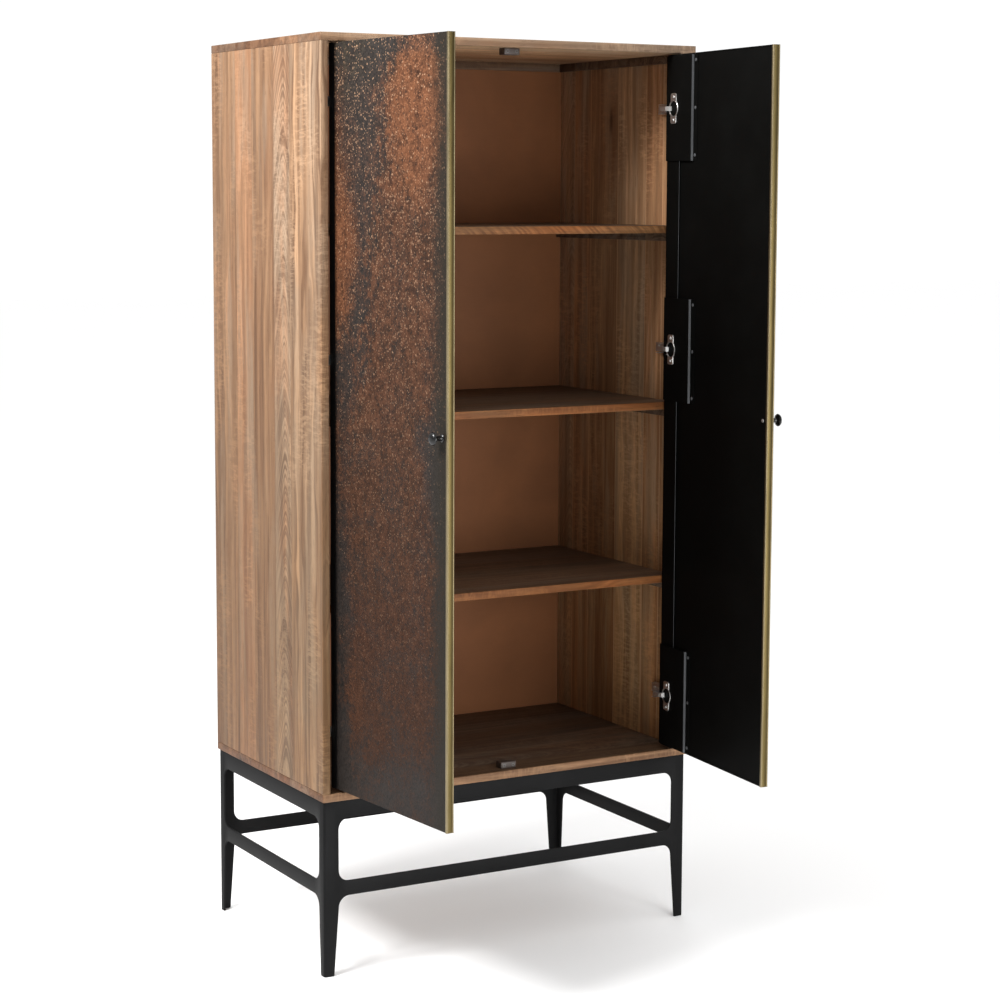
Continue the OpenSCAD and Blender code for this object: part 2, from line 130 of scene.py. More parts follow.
class CabinetStageSettings(bpy.types.PropertyGroup):
    """The floor and the lights."""

    floor: colour("Floor", "Colour of the floor", (0.97, 0.97, 0.97))
    key: power("Key light", "Power of the large light", 158.0)
    fill: power("Fill light", "Power of the front light", 80.0)
    horizon: strength("Horizon", "Strength of the light from the sides", 0.44)
    zenith: strength("Zenith", "Strength of the light from above", 1.38)
    backdrop: strength("Backdrop", "Brightness of what is seen behind the cabinet", 1.05)


# ---- Shader maths ----


def operators(operation):
    """An operator of Signal and its reflected form, from the name of a Math operation."""
    return (
        lambda self, other: self.apply(operation, self, other),
        lambda self, other: self.apply(operation, other, self),
    )


class Signal:
    """One output of a shader node. Arithmetic on it adds Math or Vector Math nodes."""

    __add__, __radd__ = operators("ADD")
    __sub__, __rsub__ = operators("SUBTRACT")
    __mul__, __rmul__ = operators("MULTIPLY")
    __truediv__, __rtruediv__ = operators("DIVIDE")
    __pow__, __rpow__ = operators("POWER")

    def __init__(self, nodes, socket):
        self.nodes = nodes
        self.socket = socket

    def output(self, name):
        """Another output of the same node."""
        return Signal(self.nodes, self.nodes.find(self.socket.node.outputs, name))

    def apply(self, operation, *values):
        """The result of a Math or Vector Math operation."""
        kinds = [v.socket.type for v in values if isinstance(v, Signal)]
        kind = "ShaderNodeMath" if set(kinds) == {"VALUE"} else "ShaderNodeVectorMath"
        return self.nodes.node(kind, {"operation": operation}, dict(enumerate(values)))

    def absolute(self):
        """The number without its sign."""
        return self.apply("ABSOLUTE", self)

    def smooth(self, low, high):
        """0 below low, 1 above high and an even curve between them."""
        settings = {"interpolation_type": "SMOOTHSTEP"}
        inputs = {"Value": self, "From Min": low, "From Max": high, "To Min": 0.0, "To Max": 1.0}
        return self.nodes.node("ShaderNodeMapRange", settings, inputs)

    def parts(self):
        """The three numbers of a vector or a colour."""
        split = self.nodes.node("ShaderNodeSeparateXYZ", None, {"Vector": self})
        return [split.output(axis) for axis in "XYZ"]


class Nodes:
    """A node tree that nodes are added to."""

    def __init__(self, tree):
        self.tree = tree

    @staticmethod
    def find(sockets, key):
        """A socket by its number, its identifier or its name."""
        if isinstance(key, int):
            return sockets[key]
        return next((s for s in sockets if s.identifier == key), None) or sockets[key]

    def feed(self, socket, value):
        """Links a signal to a socket, or sets the socket's own value."""
        if isinstance(value, Signal):
            self.tree.links.new(value.socket, socket)
        elif socket.type == "RGBA":
            socket.default_value = (*value, 1.0)
        elif socket.type == "VECTOR" and isinstance(value, (int, float)):
            socket.default_value = (value, value, value)
        else:
            socket.default_value = value

    def node(self, kind, settings=None, inputs=None):
        """Adds a node, sets it up, feeds its sockets and gives its first live output."""
        node = self.tree.nodes.new(kind)
        for name, value in (settings or {}).items():
            if name == "stops":
                self.fill_ramp(node.color_ramp, *value)
            else:
                setattr(node, name, value)
        for key, value in (inputs or {}).items():
            self.feed(self.find(node.inputs, key), value)
        return Signal(self, next((s for s in node.outputs if s.enabled), None))

    @staticmethod
    def fill_ramp(ramp, steps, stops):
        """Sets how a colour ramp steps, and its stops from pairs of place and colour."""
        ramp.interpolation = steps
        while len(ramp.elements) < len(stops):
            ramp.elements.new(0.5)
        for element, (place, shade) in zip(ramp.elements, stops):
            element.position = place
            element.color = (*shade, 1.0)


class Paint(Nodes):
    """The node tree of one material, round its Principled shader."""

    def __init__(self, name):
        self.material = bpy.data.materials.new(name)
        self.material.use_nodes = True
        super().__init__(self.material.node_tree)
        self.shader = self.tree.nodes["Principled BSDF"]

    def position(self):
        """The point's place in the cabinet's frame, in metres."""
        return self.node("ShaderNodeTexCoord").output("Object")

    def vector(self, x, y, z):
        """A vector from three numbers."""
        return self.node("ShaderNodeCombineXYZ", None, {"X": x, "Y": y, "Z": z})

    def noise(self, vector, detail=2.0, roughness=0.5, distortion=0.0):
        """Soft noise from about 0.2 to 0.8."""
        inputs = {
            "Vector": vector,
            "Scale": 1.0,
            "Detail": detail,
            "Roughness": roughness,
            "Distortion": distortion,
        }
        return self.node("ShaderNodeTexNoise", None, inputs)

    def waves(self, per_metre, detail=2.0, roughness=0.5, distortion=0.0):
        """Noise in the cabinet's frame; per_metre is its waves per metre, alike or for each axis."""
        scale = per_metre if isinstance(per_metre, tuple) else (per_metre,) * 3
        return self.noise(self.position() * scale, detail, roughness, distortion)

    def cells(self, vector):
        """Cells round scattered points: the distance, and each cell's own colour."""
        return self.node("ShaderNodeTexVoronoi", None, {"Vector": vector, "Scale": 1.0})

    def ramp(self, value, stops, steps="LINEAR"):
        """A colour from a number."""
        return self.node("ShaderNodeValToRGB", {"stops": (steps, stops)}, {"Fac": value})

    def mix(self, factor, first, second, blend="MIX"):
        """Two colours mixed by a factor."""
        settings = {"data_type": "RGBA", "blend_type": blend}
        inputs = {"Factor_Float": factor, "A_Color": first, "B_Color": second}
        return self.node("ShaderNodeMix", settings, inputs).output("Result_Color")

    def bump(self, height, distance, strength=1.0):
        """A normal from a height field; distance is in metres."""
        inputs = {"Strength": strength, "Distance": distance, "Height": height}
        return self.node("ShaderNodeBump", None, inputs)

    def finish(self, **inputs):
        """Feeds the Principled shader and gives the material."""
        for name, value in inputs.items():
            self.feed(self.shader.inputs[name.replace("_", " ")], value)
        return self.material


# ---- Materials ----


def times(shade, factor):
    """A plain colour made lighter or darker."""
    return tuple(c * factor for c in shade)


def against(shade, base):
    """What a base colour is multiplied by to give a colour."""
    return tuple(a / b for a, b in zip(shade, base))


def make_planks(span, seed):
    """Chance planks for a board: width, tone, distance to the log's heart, and boldness, 0 to 1."""
    chance = random.Random(seed)
    planks, used = [], 0.0
    while used < span:
        width = chance.uniform(0.065, 0.125)
        planks.append((width, chance.random(), chance.random(), chance.uniform(0.25, 0.8)))
        used += width
    return planks


def wood(name, along, box, planks, finish="oiled"):
    """Glued planks of solid wood. along is the grain's axis; box is the board's box."""
    looks = bpy.context.scene.cabinet_wood
    paint = Paint(name)
    x, y, z = paint.position().parts()
    low, high = box
    run, thick = (z, x) if along == "Z" else (x, z)
    middle = (low.x + high.x) / 2 if along == "Z" else (low.z + high.z) / 2
    span = high.y - low.y
    place = (y - low.y) / span

    # Each plank's own numbers, held in two stepped ramps
    traits, places, start = [], [], 0.0
    for number, (width, tone, heart, bold) in enumerate(planks):
        if start >= span:
            break
        share = start / span
        traits.append((share, (tone, heart, bold)))
        places.append((share, ((start + width / 2) / span, (number * 0.37) % 1.0, 0.0)))
        start += width
    tone, heart, bold = paint.ramp(place, traits, "CONSTANT").parts()
    centre, chance, _ = paint.ramp(place, places, "CONSTANT").parts()
    beyond, _, _ = paint.ramp(place + 0.0020 / span, places, "CONSTANT").parts()
    seam = (beyond - centre).absolute().smooth(0.0, 0.002)
    local = (place - centre) * span
    side = local + chance * 4.0
    ahead = run + chance * 9.0

    def grain(per_side, per_run, detail=2.0, roughness=0.5, distortion=0.0):
        """Noise drawn out along the grain; the numbers are waves per metre."""
        vector = paint.vector(side * per_side, thick * per_side, ahead * per_run)
        return paint.noise(vector, detail, roughness, distortion)

    # Growth rings: a cone of rings cut by the board's face gives arches or straight stripes
    sway = grain(9.0, 1.5, 3.0, 0.6)
    wander = grain(30.0, 6.5, 3.0)
    present = grain(13.0, 1.9, 3.0, 0.6).smooth(0.36, 0.62)
    knots = paint.cells(paint.vector(side * 7.0, thick * 7.0, ahead * 1.7))
    knot = 1.0 - knots.smooth(0.0, 0.085)
    halo = 1.0 - knots.smooth(0.0, 0.26)
    arched = 1.0 - heart.smooth(0.10, 0.35)
    calm = 1.0 - arched * 0.8
    off_heart = local + heart * 0.16 + (sway - 0.5) * calm * 0.09
    depth = (thick - middle) + 0.020
    taper = arched * 0.34 + 0.004
    reach = (off_heart * off_heart + depth * depth) ** 0.5 + ahead * taper
    reach = reach + ((wander - 0.5) * 0.016 + (sway - 0.5) * 0.04) * calm + halo * 0.012

    def rings(per_metre, seed, detail):
        """Noise along the ring count; per_metre is its waves per metre."""
        vector = paint.vector(reach * per_metre, chance * 40.0 + seed, 0.0)
        return paint.noise(vector, detail, 0.55).smooth(0.38, 0.62)

    broad = rings(60.0, 0.0, 2.0)
    narrow = rings(230.0, 7.0, 1.0)
    ring = broad + (narrow - broad) * (arched * 0.75)
    fine_ring = rings(420.0, 3.0, 1.0)

    # Broad clouds, curl across the grain, fibres and pores
    cloud = grain(11.0, 2.2, 4.0, 0.62, 0.5)
    streak = grain(48.0, 1.0, 3.0, 0.6, 0.2)
    ash = grain(22.0, 1.6, 3.0, 0.6, 0.4)
    curl_place = grain(9.0, 3.0, 2.0).smooth(0.46, 0.60)
    curl = grain(30.0, 120.0, 2.0, 0.55, 1.2).smooth(0.42, 0.66) * curl_place
    fibre = grain(760.0, 11.0, 2.0, 0.6)
    pores = grain(560.0, 42.0, 1.0).smooth(0.60, 0.70)

    body = paint.ramp(
        tone + (cloud - 0.5) * 1.15,
        [(0.0, looks.brown), (0.25, looks.tan), (0.5, looks.pink), (0.75, looks.grey), (1.0, looks.honey)],
    )
    light = paint.mix(1.0, body, (1.50, 1.50, 1.46), "MULTIPLY")
    dark = paint.mix(1.0, body, (0.36, 0.29, 0.25), "MULTIPLY")
    shown = present + (1.0 - present) * arched
    ring_mask = ring * (bold * 0.78 + 0.14) * (shown * 0.75 + 0.25) + (1.0 - shown) * 0.25
    shade = paint.mix(ring_mask, light, dark)
    shade = paint.mix(fine_ring * 0.13 + narrow * 0.10, shade, dark)
    shade = paint.mix(streak.smooth(0.42, 0.64) * 0.56, shade, dark)
    shade = paint.mix(ash.smooth(0.50, 0.68) * 0.66, shade, looks.grey)
    shade = paint.mix(curl * 0.50, shade, light)
    shade = paint.mix((fibre - 0.30) * 0.52, shade, dark)
    shade = paint.mix(pores * 0.40, shade, times(looks.brown, 0.42))
    shade = paint.mix(halo * 0.45, shade, times(looks.brown, 0.62))
    shade = paint.mix(knot * 0.85, shade, times(looks.brown, 0.16))
    shade = paint.mix(seam * 0.35, shade, times(looks.brown, 0.55))
    # Painted shade: the side boards are made darker and warmer towards the foot, where less light falls.
    if along == "Z":
        foot = 1.0 - ((z - low.z) / (high.z - low.z)).smooth(0.0, 0.85)
        shade = paint.mix(foot, shade, (0.82, 0.76, 0.63), "MULTIPLY")

    tints = {"stained": looks.stain, "dark": looks.shelf, "edge": looks.edge, "end": looks.end}
    if finish in tints:
        shade = paint.mix(1.0, shade, against(tints[finish], looks.tan), "MULTIPLY")
    if finish == "stained":
        shade = paint.mix(seam * 0.8, shade, times(looks.stain, 1.5))
    elif finish == "dark":
        shade = paint.mix(seam * 0.3, shade, times(looks.shelf, 1.6))
    relief = fibre * 0.5 - pores * 0.9 - seam * 0.8 - knot * 0.4 + ring * 0.15
    return paint.finish(
        Base_Color=shade,
        Roughness=fibre * 0.22 + 0.40,
        Normal=paint.bump(relief, 0.00022, 0.75),
        Specular_IOR_Level=0.14,
    )


def ply(name):
    """The smooth, stained back sheet."""
    looks = bpy.context.scene.cabinet_wood
    paint = Paint(name)
    cloud = paint.waves((3.2, 1.0, 3.2), 4.0, 0.55, 0.4)
    mottle = paint.waves((46.0, 1.0, 46.0), 4.0, 0.65)
    fibre = paint.waves((14.0, 1.0, 640.0), 3.0, 0.6)
    shade = paint.ramp(
        cloud,
        [(0.30, times(looks.ply, 0.78)), (0.5, looks.ply), (0.72, times(looks.ply, 1.25))],
    )
    shade = paint.mix(mottle * 0.28, shade, times(looks.ply, 0.62))
    shade = paint.mix(fibre.smooth(0.4, 0.7) * 0.04, shade, times(looks.ply, 1.6))
    relief = mottle * 0.4 + fibre * 0.06
    return paint.finish(
        Base_Color=shade,
        Roughness=mottle * 0.18 + 0.42,
        Normal=paint.bump(relief, 0.00025, 0.5),
        Specular_IOR_Level=0.2,
    )


def patina(name, mirror, across_range, height_range):
    """Rusted and blackened iron sheet; mirror is -1 on the right door."""
    looks = bpy.context.scene.cabinet_metal
    paint = Paint(name)
    x, y, z = paint.position().parts()
    near, far = across_range
    low, high = height_range
    u = (y - near) / (far - near)
    v = (z - low) / (high - low)
    large = paint.noise(paint.vector(u * 1.7 + mirror * 3.0, v * 4.6, mirror * 1.7), 4.0, 0.6, 0.5)
    middle = paint.noise(paint.vector(u * 6.0 + mirror, v * 18.0, 4.0), 5.0, 0.66, 0.4)
    small = paint.noise(paint.vector(y * 60.0, x * 60.0, z * 45.0), 4.0, 0.68)
    fine = paint.noise(paint.vector(y * 230.0, x * 230.0, z * 190.0), 3.0, 0.62)
    grit = paint.noise(paint.vector(y * 520.0, x * 520.0, z * 520.0), 3.0, 0.65)

    def patch(across, up, wide, tall):
        """1 at a place and 0 past its ragged rim; all four numbers are shares of the sheet."""
        aside = (u - across + (large - 0.5) * 0.30 + (small - 0.5) * 0.30) / wide
        above = (v - up + (middle - 0.5) * 0.14 + (small - 0.5) * 0.06) / tall
        return 1.0 - (aside * aside + above * above).smooth(0.0, 1.60)

    def flecks(per_metre, share, size, seed):
        """Round flecks on a share of scattered points; size is their radius in cells."""
        spots = paint.cells(paint.vector(y * per_metre + seed, x * per_metre, z * per_metre))
        chance, _, _ = spots.output("Color").parts()
        shape = 1.0 - (spots + (grit - 0.5) * 0.6).smooth(size * 0.5, size)
        return shape * (share - chance).smooth(0.0, 0.06)

    # Bare steel: a band down from the top, an olive corner, the rims and the foot
    band = u - 0.07 - (v - 0.5) * 0.62 + (large - 0.5) * 0.35 + (small - 0.5) * 0.35
    slate = (1.0 - (band * band).smooth(0.0, 0.060)) * v.smooth(0.38, 0.62)
    corner = patch(0.05, 1.0, 0.34, 0.09)
    free_edge = (u + (middle - 0.5) * 0.30).smooth(0.84, 1.02) + patch(1.0, 0.46, 0.24, 0.09)
    hinge_edge = (1.0 - (u + (large - 0.5) * 0.45).smooth(0.02, 0.26)) * (1.0 - v.smooth(0.30, 0.52))
    top_edge = (v + (middle - 0.5) * 0.03).smooth(0.965, 0.985)
    foot = 1.0 - (v + (large - 0.5) * 0.12).smooth(0.03, 0.13)
    glow = patch(0.78, 0.91, 0.26, 0.12) + patch(0.02, 0.73, 0.24, 0.14) * 0.9
    glow = glow + patch(0.18, 0.12, 0.14, 0.07) * 0.6
    bare = slate * (1.0 - glow) * 0.50 + corner * 0.5 + free_edge * 0.72
    bare = bare + hinge_edge * 0.62 + top_edge * 0.5 + foot * 0.45
    speckle = (fine - 0.5) * 1.4 + (grit - 0.5) * 0.9
    cover = 0.74 + (middle - 0.5) * 1.3 + (small - 0.5) * 0.9 + speckle + glow * 0.35 - bare
    cover = cover.smooth(0.05, 0.95)

    steel = paint.mix(corner + (large - 0.5) * 0.8, looks.steel, looks.slate)
    steel = paint.mix(small.smooth(0.38, 0.66) * 0.6, times(looks.steel, 0.7), steel)
    brown = paint.mix(small.smooth(0.34, 0.66), times(looks.rust, 0.60), times(looks.rust, 1.3))
    brown = paint.mix(glow * small.smooth(0.25, 0.65) * 0.85, brown, looks.bloom)
    # Darker towards the bottom: partly painted shade, partly the rust's own tone.
    brown = paint.mix((1.0 - v.smooth(0.05, 0.75)) * 0.70, brown, times(looks.rust, 0.52))
    shade = paint.mix(cover, steel, brown)
    shade = paint.mix((1.0 - fine.smooth(0.34, 0.60)) * 0.75, shade, (0.50, 0.46, 0.46), "MULTIPLY")

    # Round flecks, thick in the rust and sparse but pale on the steel, and dark pits
    # Painted light: through lit, the pale flecks show more strongly higher up, where more light falls, and
    # fade towards the bottom.
    lit = v * 0.62 + 0.08
    bright = paint.mix(glow * 0.8, looks.fleck, times(looks.bloom, 1.7))
    shade = paint.mix(flecks(230.0, cover * 0.20 + v * 0.34, 0.46, 0.0) * lit, shade, bright)
    shade = paint.mix(flecks(130.0, v * 0.36 - 0.06, 0.34, 5.0) * lit, shade, times(looks.fleck, 1.25))
    shade = paint.mix(flecks(150.0, 0.20, 0.42, 11.0) * 0.7, shade, times(looks.steel, 0.4))
    shade = paint.mix(u.smooth(0.82, 0.98) * 0.7, shade, times(looks.slate, 0.34))

    relief = grit * 0.5 + fine * 0.6 + small * 0.5 + cover * 0.4
    return paint.finish(
        Base_Color=shade,
        Roughness=cover * 0.18 + grit * 0.24 + 0.38,
        Normal=paint.bump(relief, 0.00040, 0.8),
        Specular_IOR_Level=0.07,
    )


def black_coat(name, shade, rough, shine):
    """Satin black coat over iron: orange peel, faint scuffs and dust."""
    paint = Paint(name)
    skin = paint.waves(620.0)
    wave = paint.waves(60.0)
    dust = paint.waves(9.0, 5.0, 0.65)
    scuff = paint.waves((30.0, 30.0, 420.0)).smooth(0.62, 0.75)
    tone = paint.mix(dust.smooth(0.35, 0.75) * 0.5, times(shade, 0.8), times(shade, 1.45))
    tone = paint.mix(scuff * 0.16, tone, times(shade, 3.2))
    gloss = dust * 0.16 + skin * 0.08 + scuff * 0.06 + (rough - 0.12)
    relief = skin * 0.45 + wave * 0.5
    return paint.finish(
        Base_Color=tone,
        Roughness=gloss,
        Normal=paint.bump(relief, 0.00012, 0.6),
        Specular_IOR_Level=shine,
    )


def brass(name, shade):
    """Aged brass, brushed along its length."""
    paint = Paint(name)
    brush = paint.waves((2600.0, 2600.0, 26.0), 2.0, 0.6)
    tarnish = paint.waves((60.0, 60.0, 7.0), 5.0, 0.62, 0.5)
    spot = paint.waves((260.0, 260.0, 170.0)).smooth(0.64, 0.74)
    tone = paint.ramp(
        tarnish,
        [(0.28, times(shade, 0.72)), (0.5, shade), (0.75, times(shade, 1.18))],
    )
    tone = paint.mix(spot * 0.25, tone, times(shade, 0.4))
    tone = paint.mix((brush - 0.4) * 0.3, tone, times(shade, 0.6))
    return paint.finish(
        Base_Color=tone,
        Metallic=1.0,
        Roughness=brush * 0.16 + tarnish * 0.2 + 0.26,
        Normal=paint.bump(brush, 0.00006, 0.7),
    )


def nickel(name, shade):
    """Bright plate with fine scratches and smudges."""
    paint = Paint(name)
    scratch = paint.waves((300.0, 1900.0, 1900.0), 2.0, 0.6)
    smudge = paint.waves(110.0, 4.0, 0.6, 0.6)
    tone = paint.mix(smudge.smooth(0.35, 0.8) * 0.45, shade, times(shade, 0.7))
    return paint.finish(
        Base_Color=tone,
        Metallic=1.0,
        Roughness=smudge * 0.2 + scratch * 0.12 + 0.22,
        Normal=paint.bump(scratch, 0.00003, 0.6),
    )


def catch_plastic(name):
    """Dark brown moulded plastic with a fine spark texture."""
    paint = Paint(name)
    spark = paint.waves(1700.0, 2.0, 0.6)
    haze = paint.waves(90.0, 3.0)
    shade = paint.mix(haze, (0.030, 0.020, 0.016), (0.055, 0.038, 0.030))
    return paint.finish(
        Base_Color=shade, Roughness=haze * 0.2 + 0.38, Normal=paint.bump(spark, 0.0001, 0.6)
    )


def floor_paint(name):
    """Plain pale floor."""
    paint = Paint(name)
    return paint.finish(Base_Color=bpy.context.scene.cabinet_stage.floor, Roughness=0.6)


def once(name, make, *args):
    """The material of that name, made the first time it is asked for."""
    return bpy.data.materials.get(name) or make(name, *args)


def plated(part="hinge"):
    """The bright plate of the hinges and screws, or the dull steel of the magnets' caps."""
    looks = bpy.context.scene.cabinet_metal
    if part == "magnet":
        return once("magnet_steel", nickel, times(looks.nickel, 0.22))
    return once("nickel_plate", nickel, looks.nickel)


def black(part="stand"):
    """The black coat of the stand, the door linings, the painted sheen on their edges and screws, or the
    knobs.
    """
    looks = bpy.context.scene.cabinet_metal
    coats = {
        "stand": (looks.black, 0.50, 0.075),
        "lining": (looks.lining, 0.55, 0.035),
        "rubbed": (looks.rubbed, 0.42, 0.3),
        "knob": (times(looks.black, 0.4), 0.20, 0.4),
    }
    return once(f"{part}_coat", black_coat, *coats[part])


# ---- Mesh tools ----


def add_piece(name, mesh_data, materials, body, slot, *nodes):
    """Turns a bmesh into a piece that rides on a body and stands for CAD nodes."""
    mesh = bpy.data.meshes.new(name)
    mesh_data.to_mesh(mesh)
    mesh_data.free()
    mesh.polygons.foreach_set("use_smooth", [True] * len(mesh.polygons))
    mesh.set_sharp_from_angle(angle=math.radians(32.0))
    for material in materials:
        mesh.materials.append(material)
    piece = bpy.data.objects.new(name, mesh)
    bpy.context.scene.collection.objects.link(piece)
    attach(piece, body)
    if nodes:
        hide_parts(*nodes)
    return piece


def dress(node, material):
    """Gives a CAD node its material."""
    held = frame["nodes"][node]
    held.data.materials.clear()
    held.data.materials.append(material)


def ease(mesh_data, width, segments=2, angle=30.0):
    """Rounds the edges that are sharper than an angle."""
    limit = math.radians(angle)
    sharp = [e for e in mesh_data.edges if e.is_manifold and e.calc_face_angle(0.0) > limit]
    bmesh.ops.bevel(
        mesh_data,
        geom=sharp,
        offset=width,
        offset_type="OFFSET",
        segments=segments,
        profile=0.5,
        affect="EDGES",
        clamp_overlap=True,
    )


def add_box(mesh_data, low, high):
    """Adds a plain box and gives its vertices."""
    size = [b - a for a, b in zip(low, high)]
    centre = [(a + b) / 2 for a, b in zip(low, high)]
    matrix = Matrix.Translation(centre) @ Matrix.Diagonal((*size, 1.0))
    return bmesh.ops.create_cube(mesh_data, size=1.0, matrix=matrix)["verts"]


def eased_box(low, high, width, segments=3):
    """A box with rounded edges."""
    made = bmesh.new()
    add_box(made, low, high)
    ease(made, width, segments)
    return made


def join(target, source):
    """Adds one bmesh to another."""
    mesh = bpy.data.meshes.new("joined")
    source.to_mesh(mesh)
    source.free()
    target.from_mesh(mesh)
    bpy.data.meshes.remove(mesh)


def add_walls(made, loops):
    """Adds the walls between loops of vertices."""
    count = len(loops[0])
    for lower, upper in zip(loops, loops[1:]):
        for i in range(count):
            j = (i + 1) % count
            made.faces.new((lower[i], lower[j], upper[j], upper[i]))


def add_loop(made, matrix, radius, height, count):
    """Adds a ring of vertices and gives it; radius is a number or a function of the angle."""
    loop = []
    for i in range(count):
        angle = math.tau * i / count
        reach = radius(angle) if callable(radius) else radius
        spot = Vector((reach * math.cos(angle), reach * math.sin(angle), height))
        loop.append(made.verts.new(matrix @ spot))
    return loop


def prism(outline, low, high, place):
    """A straight bar: (a, b) points between two ends, where place(a, b, end) is a point."""
    made = bmesh.new()
    ends = [[made.verts.new(place(a, b, end)) for a, b in outline] for end in (low, high)]
    add_walls(made, ends)
    made.faces.new(ends[0][::-1])
    made.faces.new(ends[1])
    bmesh.ops.recalc_face_normals(made, faces=made.faces)
    return made


def arc(centre, radius, start, end, steps=5):
    """Points of an arc; the angles are in degrees."""
    angles = [math.radians(start + (end - start) * i / steps) for i in range(steps + 1)]
    return [(centre[0] + radius * math.cos(a), centre[1] + radius * math.sin(a)) for a in angles]


def sheet_outline(path, thickness, radius):
    """The outline of a folded sheet: path is its outer face, folded to the right-hand side."""
    outer = round_corners(path, radius)
    inner = round_corners(offset_path(path, thickness), max(radius - thickness, 0.0002))
    return outer + inner[::-1]


def offset_path(path, distance):
    """An open path moved to its right by a distance, with mitred corners."""
    runs = [(Vector(b) - Vector(a)).normalized() for a, b in zip(path, path[1:])]
    normals = [Vector((r.y, -r.x)) for r in runs]
    moved = []
    for i, point in enumerate(path):
        before, after = normals[max(i - 1, 0)], normals[min(i, len(normals) - 1)]
        shift = (before + after) / (1.0 + before.dot(after))
        moved.append(tuple(Vector(point) + shift * distance))
    return moved


def round_corners(path, radius, steps=4):
    """An open path with its inner points rounded."""
    points = [path[0]]
    for before, corner, after in zip(path, path[1:], path[2:]):
        corner = Vector(corner)
        to_before = Vector(before) - corner
        to_after = Vector(after) - corner
        reach = min(radius, to_before.length * 0.45, to_after.length * 0.45)
        start = corner + to_before.normalized() * reach
        end = corner + to_after.normalized() * reach
        for i in range(steps + 1):
            t = i / steps
            bend = start.lerp(corner, t).lerp(corner.lerp(end, t), t)
            points.append(tuple(bend))
    return points + [path[-1]]


def turned(rings, matrix, count=48):
    """A turned or lofted solid: rings of (radius or radius(angle), height), closed at both ends."""
    made = bmesh.new()
    loops = [add_loop(made, matrix, radius, height, count) for radius, height in rings]
    add_walls(made, loops)
    made.faces.new(loops[0][::-1])
    made.faces.new(loops[-1])
    return made


def screw_head(matrix, radius, height, count=24):
    """A pan head with a cross recess; its base is on the matrix's XY plane."""
    made = bmesh.new()
    rings = [(1.0, 0.0), (1.0, 0.4), (0.93, 0.75), (0.72, 1.0)]
    loops = [add_loop(made, matrix, radius * wide, height * tall, count) for wide, tall in rings]
    add_walls(made, loops)
    made.faces.new(loops[0][::-1])
    arm, half = radius * 0.52, radius * 0.12
    cross = []
    for quarter in range(4):
        turn = Matrix.Rotation(math.tau * quarter / 4, 3, "Z")
        cross += [turn @ Vector((a, b, 0)) for a, b in ((arm, -half), (arm, half), (half, half))]
    top = [made.verts.new(matrix @ (p + Vector((0, 0, height)))) for p in cross]
    floor = [made.verts.new(matrix @ (p * 0.8 + Vector((0, 0, height * 0.35)))) for p in cross]
    edges = [made.edges.get((loops[-1][i], loops[-1][(i + 1) % count])) for i in range(count)]
    edges += [made.edges.new((top[i], top[(i + 1) % len(top)])) for i in range(len(top))]
    bmesh.ops.triangle_fill(made, edges=edges, use_beauty=True)
    add_walls(made, [top, floor])
    made.faces.new(floor)
    bmesh.ops.recalc_face_normals(made, faces=made.faces)
    return made


def facing(point, direction, spin=0.0):
    """A matrix that puts Z along a direction, with its origin at a point."""
    turn = Vector(direction).to_track_quat("Z", "Y").to_matrix().to_4x4()
    return Matrix.Translation(point) @ turn @ Matrix.Rotation(spin, 4, "Z")


# ---- Places, all worked out from the frame ----


def joint(side):
    """The record of a door's joint."""
    return next(j for j in frame["joints"] if j["child"] == f"{side}_door")


def pin(side):
    """A door's turning axis, as a point on it."""
    return Vector(joint(side)["pos_m"])


def shut_turn(side):
    """The matrix that shuts a door that stands open at rest."""
    record = joint(side)
    angle = math.radians(record["range_deg"][1])
    turn = Matrix.Rotation(angle, 4, Vector(record["axis"]))
    return Matrix.Translation(pin(side)) @ turn @ Matrix.Translation(-pin(side))


def extent(points):
    """The lowest and the highest corner round some points."""
    return tuple(Vector(pick(p[i] for p in points) for i in range(3)) for pick in (min, max))


def shut_box(node):
    """The corners of a left door's CAD node with the door shut."""
    matrix = shut_turn("left")
    return extent([matrix @ v.co for v in frame["nodes"][node].data.vertices])


def solids(node, shut=False):
    """The corners of each separate solid in a CAD node, from the lowest up."""
    matrix = shut_turn("left") if shut else Matrix.Identity(4)
    made = bmesh.new()
    made.from_mesh(frame["nodes"][node].data)
    bmesh.ops.remove_doubles(made, verts=made.verts, dist=1e-6)
    left = set(made.verts)
    found = []
    while left:
        group, queue = [], [left.pop()]
        while queue:
            vert = queue.pop()
            group.append(matrix @ vert.co)
            for link in vert.link_edges:
                other = link.other_vert(vert)
                if other in left:
                    left.remove(other)
                    queue.append(other)
        found.append(extent(group))
    made.free()
    return sorted(found, key=lambda box: [round(box[0][i], 5) for i in (2, 1, 0)])


def mark_sheen_faces(mesh_data, above):
    """Marks the rims that look away from the hinge edge, above a level, for the painted sheen, and the
    outer faces.
    """
    for face in mesh_data.faces:
        if face.normal.x > 0.9 and face.calc_center_median().y > above:
            face.material_index = 1
        elif face.normal.y < -0.7:
            face.material_index = 2
    return mesh_data


def on_side(mesh_data, side):
    """Mirrors a part drawn on the cabinet's left to the right, if asked."""
    if side == "right":
        bmesh.ops.scale(mesh_data, vec=(-1.0, 1.0, 1.0), verts=mesh_data.verts)
        bmesh.ops.reverse_faces(mesh_data, faces=mesh_data.faces)
    return mesh_data


def hang(mesh_data, side):
    """Moves a part drawn on the shut left door to its place on either open door."""
    on_side(mesh_data, side)
    bmesh.ops.transform(mesh_data, matrix=shut_turn(side).inverted(), verts=mesh_data.verts)
    return mesh_data


# ---- Boards ----


# Width, tone, distance to the log's heart, and boldness, from the front edge back
LEFT_PLANKS = [
    (0.150, 0.90, 0.85, 1.00),
    (0.080, 0.72, 0.05, 0.80),
    (0.112, 0.16, 0.55, 0.45),
    (0.086, 0.50, 0.36, 0.28),
    (0.140, 0.28, 0.70, 0.75),
]


